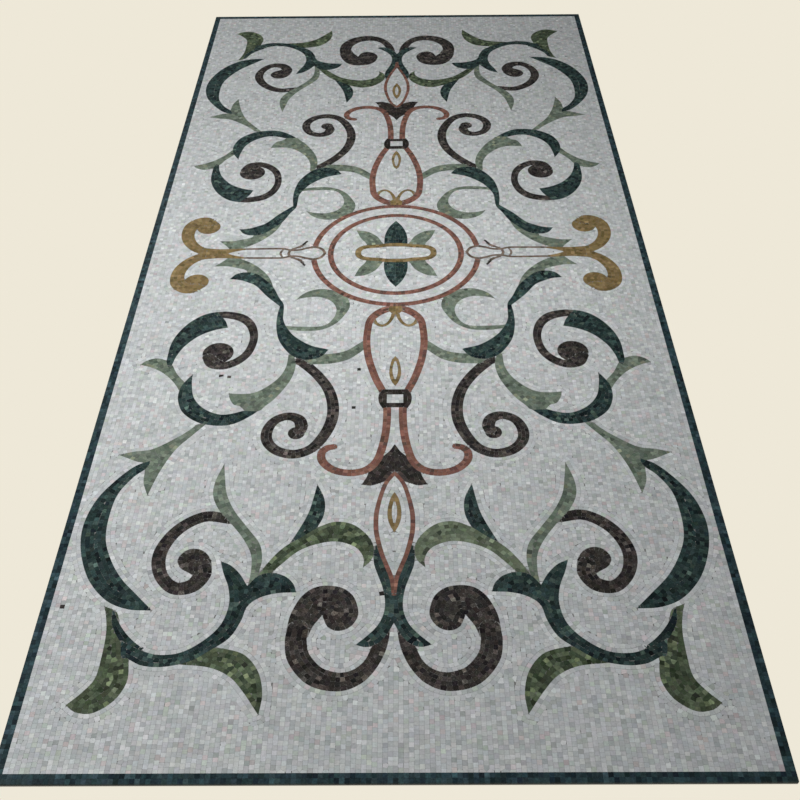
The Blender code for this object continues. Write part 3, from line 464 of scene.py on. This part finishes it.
# The record's slot of each figure
SLOTS = {
    "field": "pale_stone", "border": "border_stone",
    "inner_ring": "rust_stone", "outer_ring": "rust_stone", "pill_ring": "ochre_stone",
    "centre_spray": "green_stone", "almond": "rust_stone", "almond_lozenge": "ochre_stone",
    "clasp": "rust_stone", "vase": "rust_stone", "vase_lozenge": "ochre_stone", "stem": "green_stone",
    "side_curls": "ochre_stone", "spear": "brown_stone",
    "side_spray": "green_stone", "middle_spray": "sage_stone", "outer_spray": "green_stone",
    "corner_spray": "olive_stone", "large_scroll": "brown_stone", "middle_scroll": "brown_stone",
    "small_scroll": "brown_stone", "end_scroll": "brown_stone",
}

# The stage: the floor's plain colour, the light from all round, and the lamps with
# their name, place, target, size in metres and power in watts
FLOOR_COLOUR = (0.855, 0.807, 0.687, 1)
SKY_STRENGTH = 0.18
LAMPS = (
    ("key", (-2.6, -0.7, 2.6), (0, -0.1, 0), 2.5, 114),
    ("far", (-2.4, 4.3, 3.0), (0, 0, 0), 1.6, 36),
    ("middle", (0.0, -0.1, 1.2), (0.0, -0.1, 0.0), 0.4, 6.4),
)

# The camera as the photo was taken: focal length in pixels, place in metres, and turn
FOCAL_PIXELS = 1033.0
PHOTO_PIXELS = 800
SENSOR_WIDTH = 36
CAMERA_PLACE = (0.0285, -2.5258, 1.8498)
CAMERA_TURN = (
    (0.999967, 0.005548, 0.006018), (0.000446, 0.697147, -0.716928), (-0.008173, 0.716907, 0.697121))

# Single stones that differ from those around them: x and y in metres, stone
ODD_STONES = [
    (-0.433, -0.539, "brown"), (-0.455, -0.538, "brown"), (-0.095, -0.520, "brown"),
    (-0.107, -0.656, "brown"), (-0.700, -1.257, "brown"),
    (-0.058, 0.900, "brown"), (-0.027, -1.206, "white"), (-0.026, -1.226, "black"),
]


def inside(shape, points):
    """Which of the points lie in the shape."""
    if "line" in shape:
        return in_band(shape, points)
    outline = shape["outline"]
    result = np.zeros(len(points), dtype=bool)
    near = np.all((points >= outline.min(axis=0)) & (points <= outline.max(axis=0)), axis=1)
    if not near.any():
        return result
    x = points[near, 0][:, None]
    y = points[near, 1][:, None]
    a = outline
    b = np.roll(outline, -1, axis=0)
    spans = (a[:, 1] > y) != (b[:, 1] > y)
    rise = np.where(b[:, 1] == a[:, 1], 1e-9, b[:, 1] - a[:, 1])
    crossing = spans & (x < a[:, 0] + (y - a[:, 1]) * (b[:, 0] - a[:, 0]) / rise)
    result[near] = crossing.sum(axis=1) % 2 == 1
    return result


def in_band(shape, points):
    line = shape["line"]
    low = line[:, :2].min(axis=0) - line[:, 2].max()
    high = line[:, :2].max(axis=0) + line[:, 2].max()
    result = np.zeros(len(points), dtype=bool)
    near = np.all((points >= low) & (points <= high), axis=1)
    if not near.any():
        return result
    offset = points[near][:, None, :] - line[None, :, :2]
    result[near] = (np.hypot(offset[..., 0], offset[..., 1]) < line[:, 2]).any(axis=1)
    return result


def regions(points):
    """The index of the uppermost shape at each point, or -1 on the ground."""
    points = np.asarray(points, dtype=float).reshape(-1, 2)
    found = np.full(len(points), -1)
    for index, (figure, stone, shape) in enumerate(CARTOON):
        free = found < 0
        hit = inside(shape, points[free])
        found[np.nonzero(free)[0][hit]] = index
    return found


def boundary_samples():
    """Points along every visible outline, with the unit tangent there, in order along each outline."""
    points = []
    tangents = []
    for index, (figure, stone, shape) in enumerate(CARTOON):
        outline = shape["outline"]
        tangent = np.roll(outline, -1, axis=0) - np.roll(outline, 1, axis=0)
        tangent /= np.maximum(np.linalg.norm(tangent, axis=1)[:, None], 1e-9)
        normal = np.column_stack([tangent[:, 1], -tangent[:, 0]])
        left = regions(outline + normal * LOOK_ASIDE)
        right = regions(outline - normal * LOOK_ASIDE)
        seen = (left != right) & ((left == index) | (right == index))
        seen &= (outline[:, 0] > -PAST_AXIS) & (outline[:, 1] > -PAST_AXIS)
        points.append(outline[seen])
        tangents.append(tangent[seen])
    return np.vstack(points), np.vstack(tangents)


class Layout:
    """The stones of one quarter, each a middle, a direction for its sides, and the shape it is part of."""

    def __init__(self):
        self.chance = random.Random(3)
        self.edge_points, self.edge_tangents = boundary_samples()
        self.edges = kdtree.KDTree(len(self.edge_points))
        for index, (x, y) in enumerate(self.edge_points):
            self.edges.insert((x, y, 0), index)
        self.edges.balance()
        self.stones = []
        self.cells = {}

    def clearance(self, x, y):
        return self.edges.find((x, y, 0))[2]

    def crowded(self, x, y, region, spacing):
        for i in range(int(x) - 1, int(x) + 2):
            for j in range(int(y) - 1, int(y) + 2):
                for other in self.cells.get((i, j), ()):
                    stone = self.stones[other]
                    if stone[4] == region and (stone[0] - x) ** 2 + (stone[1] - y) ** 2 < spacing ** 2:
                        return True
        return False

    def add(self, x, y, cos, sin, region, spacing):
        if not (AXIS_MARGIN < x < HALF_ACROSS - BORDER_ROWS and AXIS_MARGIN < y < HALF_ALONG - BORDER_ROWS):
            return False
        if self.crowded(x, y, region, spacing):
            return False
        self.cells.setdefault((int(x), int(y)), []).append(len(self.stones))
        self.stones.append((x, y, cos, sin, region))
        return True

    def add_band_rows(self):
        """Rows that run along the bands, and rings of stones in the discs."""
        for index, (figure, stone, shape) in enumerate(CARTOON):
            if "line" in shape:
                candidates = band_rows(shape)
            elif "centre" in shape:
                candidates = disc_rows(shape)
            else:
                continue
            where = regions([candidate[:2] for candidate in candidates])
            for (x, y, cos, sin), region in zip(candidates, where):
                if region == index:
                    self.add(x, y, cos, sin, index, BAND_SPACING)

    def add_contour_rows(self):
        """Rows along both sides of every visible outline: several in a leaf, and a few on the ground."""
        whole = [index for index, entry in enumerate(CARTOON) if "line" in entry[2] or "centre" in entry[2]]
        for row in range(MOST_ROWS):
            depth = row + 0.5
            for side in (1, -1):
                normal = np.column_stack([self.edge_tangents[:, 1], -self.edge_tangents[:, 0]]) * side
                candidates = self.edge_points + normal * depth
                where = regions(candidates)
                last = None
                for point, tangent, region in zip(candidates, self.edge_tangents, where):
                    x, y = point
                    if region in whole or (region < 0 and row >= CONTOUR_ROWS):
                        continue
                    if last is not None and (last[0] - x) ** 2 + (last[1] - y) ** 2 < ROW_STEP_SQUARED:
                        continue
                    if x < 0 or y < 0 or self.clearance(x, y) < depth - ROW_SLACK:
                        continue
                    if self.add(x, y, tangent[0], tangent[1], region, STONE_SPACING):
                        last = point

    def add_ground(self):
        """Straight columns over the open ground."""
        middles = []
        for i in range(HALF_ACROSS - BORDER_ROWS):
            start = self.chance.random()
            for j in range(HALF_ALONG - BORDER_ROWS):
                middles.append((i + 0.5, start + j + self.chance.uniform(-COLUMN_JITTER, COLUMN_JITTER)))
        for (x, y), region in zip(middles, regions(middles)):
            if region < 0 and self.clearance(x, y) > CONTOUR_ROWS + COLUMN_MARGIN:
                self.add(x, y, 0.0, 1.0, region, STONE_SPACING)

    def fill_gaps(self):
        """Odd stones where the rows leave room for one."""
        columns = int((HALF_ACROSS - BORDER_ROWS) / GAP_STEP)
        rows = int((HALF_ALONG - BORDER_ROWS) / GAP_STEP)
        places = [(i * GAP_STEP + GAP_START, j * GAP_STEP + GAP_START)
                  for i in range(columns) for j in range(rows)]
        for (x, y), region in zip(places, regions(places)):
            point, nearest, distance = self.edges.find((x, y, 0))
            if distance > GAP_MARGIN and not self.crowded(x, y, region, STONE_SPACING):
                tangent = self.edge_tangents[nearest]
                self.add(x, y, tangent[0], tangent[1], region, STONE_SPACING)

    def outlines(self):
        """The outline of every stone: a square, cut by its neighbours and by the figures' outlines."""
        tree = kdtree.KDTree(len(self.stones))
        for index, stone in enumerate(self.stones):
            tree.insert((stone[0], stone[1], 0), index)
        tree.balance()
        cells = []
        for index, (x, y, cos, sin, region) in enumerate(self.stones):
            cell = square(x, y, cos, sin, STONE_REACH)
            joints = PALE_JOINTS if region < 0 or CARTOON[region][1] == "pale" else DARK_JOINTS
            for place, other, distance in tree.find_range((x, y, 0), NEIGHBOUR_REACH * STONE_REACH):
                if other != index and self.stones[other][4] == region:
                    cell = cut_by_neighbour(cell, self.stones[index], self.stones[other], joints)
            cell = self.cut_by_edges(cell, x, y)
            cell = cut(cell, 0, 0, 1, 0)
            cell = cut(cell, 0, 0, 0, 1)
            cell = cut(cell, HALF_ACROSS - BORDER_ROWS, 0, -1, 0)
            cells.append(cut(cell, 0, HALF_ALONG - BORDER_ROWS, 0, -1))
        result = []
        for stone, cell in zip(self.stones, self.draw_back(cells)):
            if len(cell) > 2 and area(cell) > SMALLEST_STONE:
                figure, kind = ("field", "pale") if stone[4] < 0 else CARTOON[stone[4]][:2]
                result.append((figure, kind, cell))
        return result

    def draw_back(self, cells):
        """Pull each corner that reaches into another shape back towards its own stone's middle."""
        owner = np.repeat(np.arange(len(cells)), [len(cell) for cell in cells])
        middles = np.array([stone[:2] for stone in self.stones])[owner]
        own = np.array([stone[4] for stone in self.stones])[owner]
        corners = np.array([point for cell in cells for point in cell])
        share = np.ones(len(corners))
        for step in range(DRAW_STEPS):
            tested = middles + (corners - middles) * (share * CORNER_TEST)[:, None]
            share[regions(np.maximum(tested, 0.001)) != own] *= DRAW_SHARE
        corners = middles + (corners - middles) * share[:, None]
        ends = np.cumsum([len(cell) for cell in cells])
        return [[tuple(point) for point in group] for group in np.split(corners, ends[:-1])]

    def cut_by_edges(self, cell, x, y):
        """Cut the cell along the outlines next to it, on its own side of them."""
        taken = []
        near = self.edges.find_range((x, y, 0), EDGE_REACH)
        for place, index, distance in sorted(near, key=lambda hit: hit[2]):
            if distance < 1e-6:
                continue
            ux = (x - place[0]) / distance
            uy = (y - place[1]) / distance
            tx, ty = self.edge_tangents[index]
            if taken and abs(ux * tx + uy * ty) > MOST_ALONG:
                continue
            if any(ux * vx + uy * vy > SAME_WAY for vx, vy in taken):
                continue
            taken.append((ux, uy))
            cell = cut(cell, place[0], place[1], ux, uy)
        return cell


def band_rows(shape):
    """The middles of the stones in a band, in rows across it."""
    rows = []
    travelled = 0.5
    line = shape["line"]
    steps = np.linalg.norm(np.diff(line[:, :2], axis=0), axis=1)
    for point, along, step in zip(line, shape["along"], np.append(steps, 0)):
        if travelled >= 1:
            travelled -= 1
            count = max(1, round(2 * point[2]))
            for row in range(count):
                offset = ((row + 0.5) / count * 2 - 1) * point[2]
                rows.append((point[0] - along[1] * offset, point[1] + along[0] * offset, along[0], along[1]))
        travelled += step
    return rows


def disc_rows(shape):
    """The middles of the stones in a disc, in rings round one stone in the middle."""
    rows = []
    x, y = shape["centre"]
    radius = shape["radius"] - 0.5
    while radius > 0.4:
        count = max(3, round(2 * math.pi * radius))
        for step in range(count):
            angle = 2 * math.pi * (step + 0.3) / count
            cos = math.cos(angle)
            sin = math.sin(angle)
            rows.append((x + radius * cos, y + radius * sin, -sin, cos))
        radius -= 1
    rows.append((x, y, 1.0, 0.0))
    return rows


def square(x, y, cos, sin, half):
    return [(x + half * (a * cos - b * sin), y + half * (a * sin + b * cos))
            for a, b in ((-1, -1), (1, -1), (1, 1), (-1, 1))]


def cut(cell, px, py, nx, ny, half_joint=JOINT):
    """The part of a convex cell that lies ahead of a line, less half a joint."""
    limit = px * nx + py * ny + half_joint
    kept = []
    count = len(cell)
    for index in range(count):
        ax, ay = cell[index]
        bx, by = cell[(index + 1) % count]
        da = ax * nx + ay * ny - limit
        db = bx * nx + by * ny - limit
        if da >= 0:
            kept.append((ax, ay))
        if (da >= 0) != (db >= 0):
            t = da / (da - db)
            kept.append((ax + (bx - ax) * t, ay + (by - ay) * t))
    return kept


def cut_by_neighbour(cell, stone, other, joints):
    """Cut the cell half way to a neighbour: square to its own sides if the two lie in rows."""
    x, y, cos, sin, region = stone
    dx = other[0] - x
    dy = other[1] - y
    turn = abs(cos * other[2] + sin * other[3])
    along = dx * cos + dy * sin
    across = dy * cos - dx * sin
    if turn > SAME_TURN and abs(across) < SAME_ROW:
        sign = math.copysign(1, along)
        nx, ny, reach, joint = cos * sign, sin * sign, abs(along) / 2, joints[0]
    elif turn > SAME_TURN and abs(across) > NEXT_ROW and abs(along) < STONE_REACH:
        sign = math.copysign(1, across)
        nx, ny, reach, joint = -sin * sign, cos * sign, abs(across) / 2, joints[1]
    else:
        distance = math.hypot(dx, dy)
        nx, ny, reach, joint = dx / distance, dy / distance, distance / 2, joints[0]
    return cut(cell, x + nx * reach, y + ny * reach, -nx, -ny, joint)


def area(cell):
    return abs(sum(a[0] * b[1] - a[1] * b[0] for a, b in zip(cell, cell[1:] + cell[:1]))) / 2


def border_outlines():
    """The two rows of squares round the edge: those of the long side, then those of the short side."""
    result = []
    for row in range(BORDER_ROWS):
        x = HALF_ACROSS - BORDER_ROWS + row + 0.5
        for j in range(HALF_ALONG):
            result.append(("border_side", "border", square(x, j + 0.5, 1.0, 0.0, 0.5 - DARK_JOINTS[0])))
        y = HALF_ALONG - BORDER_ROWS + row + 0.5
        for i in range(HALF_ACROSS - BORDER_ROWS):
            result.append(("border_end", "border", square(i + 0.5, y, 1.0, 0.0, 0.5 - DARK_JOINTS[0])))
    return result


def node_of(figure, quarter):
    """The CAD node that a figure's stones stand for in a quarter."""
    side, end = quarter.split("_")
    if figure == "border_side":
        return f"border_{side}"
    if figure == "border_end":
        return f"border_{end}"
    if figure in WHOLE_FIGURES:
        return figure
    if figure in END_FIGURES:
        return f"{figure}_{end}"
    if figure in SIDE_FIGURES:
        return f"{figure}_{side}"
    return f"{figure}_{quarter}"


def linear(colour):
    return [(channel / 255 / 12.92) if channel <= 10 else ((channel / 255 + 0.055) / 1.055) ** 2.4
            for channel in colour]


def pick_colour(stone, chance):
    """One of the colours of a stone, a little lighter or darker from tessera to tessera."""
    options = STONES[stone]
    colour = chance.choices([option[1] for option in options], [option[0] for option in options])[0]
    shade = chance.gauss(1, SHADE_SPREAD.get(stone, DARK_SHADE_SPREAD))
    return [min(max(channel * shade + chance.uniform(-2, 2), 5), 245) for channel in colour]


def odd_stones(cells):
    """The kind of each single stone that differs, by its quarter and its place among the cells."""
    middles = np.array([np.mean(cell, axis=0) for figure, stone, cell in cells]) * SQUARE
    found = {}
    for x, y, kind in ODD_STONES:
        nearest = int(np.hypot(middles[:, 0] - abs(x), middles[:, 1] - abs(y)).argmin())
        for quarter, mirror_x, mirror_y in QUARTERS:
            if x * mirror_x > 0 and y * mirror_y > 0:
                found[quarter, nearest] = kind
    return found


class Piece:
    """The mesh of one piece: many small closed stones."""

    def __init__(self):
        self.vertices = []
        self.faces = []
        self.stones = []
        self.colours = []

    def add(self, cell, stone, chance):
        count = len(cell)
        base = len(self.vertices)
        mx = sum(point[0] for point in cell) / count
        my = sum(point[1] for point in cell) / count
        drop = chance.uniform(0.3, 1) * MOST_DROP
        tilt_x = chance.uniform(-1, 1) * MOST_TILT
        tilt_y = chance.uniform(-1, 1) * MOST_TILT
        for x, y in cell:
            height = PANEL_THICKNESS - drop + (x - mx) * tilt_x + (y - my) * tilt_y
            self.vertices.append((x, y, min(height, PANEL_THICKNESS)))
        self.vertices += [(x, y, PANEL_THICKNESS - STONE_DEPTH) for x, y in cell]
        self.faces.append(range(base, base + count))
        self.faces.append(range(base + 2 * count - 1, base + count - 1, -1))
        for index in range(count):
            first = base + index
            second = base + (index + 1) % count
            self.faces.append((second, first, count + first, count + second))
        self.stones += [stone] * (count + 2)
        colour = [*linear(pick_colour(stone, chance)), 1.0]
        self.colours += colour * (2 * count)

    def build(self, name, materials):
        mesh = bpy.data.meshes.new(name)
        mesh.from_pydata(self.vertices, [], self.faces)
        kinds = sorted(set(self.stones))
        for kind in kinds:
            mesh.materials.append(materials[kind])
        mesh.polygons.foreach_set("material_index", [kinds.index(stone) for stone in self.stones])
        colours = mesh.color_attributes.new("stone_colour", "FLOAT_COLOR", "POINT")
        colours.data.foreach_set("color", self.colours)
        places = np.array(self.vertices)[:, :2]
        low = places.min(axis=0)
        spread = (places.max(axis=0) - low).max()
        corners = np.empty(len(mesh.loops), dtype=np.int32)
        mesh.loops.foreach_get("vertex_index", corners)
        layer = mesh.uv_layers.new(name="OFBake")
        layer.data.foreach_set("uv", ((places[corners] - low) / spread).ravel())
        mesh.update()
        piece = bpy.data.objects.new(name, mesh)
        bpy.context.scene.collection.objects.link(piece)
        return piece


def lay_out():
    layout = Layout()
    layout.add_band_rows()
    layout.add_contour_rows()
    layout.add_ground()
    layout.fill_gaps()
    return layout.outlines() + border_outlines()


def build_pieces(materials):
    """Mirror the quarter's stones four ways and gather them into the pieces."""
    cells = lay_out()
    chance = random.Random(7)
    pieces = {}
    odd = odd_stones(cells)
    for quarter, mirror_x, mirror_y in QUARTERS:
        for index, (figure, stone, cell) in enumerate(cells):
            placed = [(x * SQUARE * mirror_x, y * SQUARE * mirror_y) for x, y in cell]
            if mirror_x * mirror_y < 0:
                placed.reverse()
            if stone == "arch olive":
                stone = "light olive" if quarter == "right_near" else "olive"
            name = node_of(figure, quarter)
            pieces.setdefault(name, Piece()).add(placed, odd.get((quarter, index), stone), chance)
    for name, piece in pieces.items():
        stones = piece.build(f"stones_{name}", materials)
        node = "field" if name.startswith("field") else name
        figure = name
        while figure not in SLOTS:
            figure = figure.rpartition("_")[0]
        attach(stones, "root")
        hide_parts(node)


def build_bed(material):
    """The mortar under and between the stones."""
    half_x = PANEL_WIDTH / 2 - BED_MARGIN
    half_y = PANEL_LENGTH / 2 - BED_MARGIN
    top = PANEL_THICKNESS - GROUT_DEPTH
    corners = [(-half_x, -half_y), (half_x, -half_y), (half_x, half_y), (-half_x, half_y)]
    vertices = [(x, y, z) for z in (0, top) for x, y in corners]
    faces = [(3, 2, 1, 0), (4, 5, 6, 7)] + [(i, (i + 1) % 4, 4 + (i + 1) % 4, 4 + i) for i in range(4)]
    mesh = bpy.data.meshes.new("bed")
    mesh.from_pydata(vertices, [], faces)
    mesh.materials.append(material)
    bed = bpy.data.objects.new("bed", mesh)
    bpy.context.scene.collection.objects.link(bed)
    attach(bed, "root")
    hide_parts("field")


def add_node(tree, kind, **values):
    """A new node, with its inputs and settings by name."""
    node = tree.nodes.new(kind)
    for name, value in values.items():
        if name in node.inputs:
            node.inputs[name].default_value = value
        else:
            setattr(node, name, value)
    return node


def marble(name, roughness, mottle, mottle_size, vein, vein_size=90.0, vein_start=0.47):
    """Honed stone: its tessera's colour, mottled and veined."""
    material = bpy.data.materials.new(name)
    material.use_nodes = True
    tree = material.node_tree
    shader = tree.nodes["Principled BSDF"]
    shader.inputs["Roughness"].default_value = roughness
    shader.inputs["Specular IOR Level"].default_value = STONE_SPECULAR
    place = add_node(tree, "ShaderNodeTexCoord")
    colour = add_node(tree, "ShaderNodeAttribute", attribute_name="stone_colour")
    noise = add_node(tree, "ShaderNodeTexNoise", Scale=mottle_size, Detail=4.0, Roughness=0.6)
    spread = add_node(tree, "ShaderNodeMapRange")
    spread.inputs["From Min"].default_value = 0.5 - MOTTLE_RANGE
    spread.inputs["From Max"].default_value = 0.5 + MOTTLE_RANGE
    spread.inputs["To Min"].default_value = 1 - mottle
    spread.inputs["To Max"].default_value = 1 + mottle
    bend = add_node(tree, "ShaderNodeTexNoise", Scale=vein_size, Detail=3.0, Distortion=2.5)
    line = add_node(tree, "ShaderNodeMapRange")
    line.inputs["From Min"].default_value = vein_start
    line.inputs["From Max"].default_value = vein_start + VEIN_RISE
    line.interpolation_type = "SMOOTHSTEP"
    line.inputs["To Min"].default_value = 1.0
    line.inputs["To Max"].default_value = 1 + vein
    scale = add_node(tree, "ShaderNodeMath", operation="MULTIPLY")
    tint = add_node(tree, "ShaderNodeVectorMath", operation="SCALE")
    link = tree.links.new
    link(place.outputs["Object"], noise.inputs["Vector"])
    link(place.outputs["Object"], bend.inputs["Vector"])
    link(noise.outputs["Fac"], spread.inputs["Value"])
    link(bend.outputs["Fac"], line.inputs["Value"])
    link(spread.outputs["Result"], scale.inputs[0])
    link(line.outputs["Result"], scale.inputs[1])
    link(colour.outputs["Color"], tint.inputs[0])
    link(scale.outputs["Value"], tint.inputs["Scale"])
    link(tint.outputs["Vector"], shader.inputs["Base Color"])
    return material


def mortar():
    """Grey mortar, a little uneven."""
    material = bpy.data.materials.new("mortar")
    material.use_nodes = True
    tree = material.node_tree
    shader = tree.nodes["Principled BSDF"]
    shader.inputs["Roughness"].default_value = 0.85
    place = add_node(tree, "ShaderNodeTexCoord")
    noise = add_node(tree, "ShaderNodeTexNoise", Scale=240.0, Detail=5.0)
    ramp = add_node(tree, "ShaderNodeValToRGB")
    ramp.color_ramp.elements[0].position = 0.3
    ramp.color_ramp.elements[0].color = (0.14, 0.14, 0.135, 1)
    ramp.color_ramp.elements[1].position = 0.7
    ramp.color_ramp.elements[1].color = (0.21, 0.21, 0.20, 1)
    tree.links.new(place.outputs["Object"], noise.inputs["Vector"])
    tree.links.new(noise.outputs["Fac"], ramp.inputs["Fac"])
    tree.links.new(ramp.outputs["Color"], shader.inputs["Base Color"])
    return material


def build_stage():
    """A plain pale floor, soft light and the camera."""
    bpy.ops.mesh.primitive_plane_add(size=60, location=(0, 0, -FLOOR_DROP))
    floor = bpy.context.object
    floor.name = "floor"
    material = bpy.data.materials.new("floor")
    material.use_nodes = True
    inputs = material.node_tree.nodes["Principled BSDF"].inputs
    inputs["Base Color"].default_value = (0.0, 0.0, 0.0, 1)
    inputs["Roughness"].default_value = 0.9
    inputs["Emission Color"].default_value = FLOOR_COLOUR
    inputs["Emission Strength"].default_value = 1.0
    inputs["Specular IOR Level"].default_value = 0.0
    floor.data.materials.append(material)
    world = bpy.data.worlds.new("soft")
    bpy.context.scene.world = world
    world.use_nodes = True
    world.node_tree.nodes["Background"].inputs["Color"].default_value = (1, 1, 1, 1)
    world.node_tree.nodes["Background"].inputs["Strength"].default_value = SKY_STRENGTH
    for lamp in LAMPS:
        add_light(*lamp)
    camera = bpy.data.cameras.new("camera")
    camera.sensor_width = SENSOR_WIDTH
    camera.lens = FOCAL_PIXELS * SENSOR_WIDTH / PHOTO_PIXELS
    viewer = bpy.data.objects.new("camera", camera)
    viewer.matrix_world = Matrix.Translation(CAMERA_PLACE) @ Matrix(CAMERA_TURN).to_4x4()
    bpy.context.scene.collection.objects.link(viewer)
    bpy.context.scene.camera = viewer


def add_light(name, place, target, size, energy):
    light = bpy.data.lights.new(name, "AREA")
    light.size = size
    light.energy = energy
    lamp = bpy.data.objects.new(name, light)
    lamp.matrix_world = look_at(place, target)
    bpy.context.scene.collection.objects.link(lamp)


def look_at(place, target):
    way = Vector(target) - Vector(place)
    return Matrix.Translation(place) @ way.to_track_quat("-Z", "Y").to_matrix().to_4x4()


def main():
    materials = {
        "pale": marble("pale_marble", 0.42, 0.13, 200.0, 0.03),
        "dark green": marble("dark_green_marble", 0.36, 0.4, 210.0, 0.7, 220.0, 0.58),
        "border": marble("border_marble", 0.36, 0.38, 190.0, 0.2),
        "sage": marble("sage_marble", 0.4, 0.2, 200.0, 0.1),
        "olive": marble("olive_marble", 0.4, 0.3, 170.0, 0.2),
        "light olive": marble("light_olive_marble", 0.4, 0.2, 170.0, 0.1),
        "white": marble("white_marble", 0.4, 0.05, 170.0, 0.03),
        "brown": marble("brown_marble", 0.36, 0.3, 220.0, 1.6, 240.0, 0.56),
        "rust": marble("rust_marble", 0.38, 0.2, 200.0, 0.15),
        "ochre": marble("ochre_marble", 0.4, 0.14, 180.0, 0.1),
        "black": marble("black_marble", 0.34, 0.2, 200.0, 0.3),
        "taupe": marble("taupe_marble", 0.4, 0.12, 200.0, 0.1),
    }
    build_pieces(materials)
    build_bed(mortar())
    build_stage()
    bpy.context.scene.view_settings.view_transform = "Standard"


main()
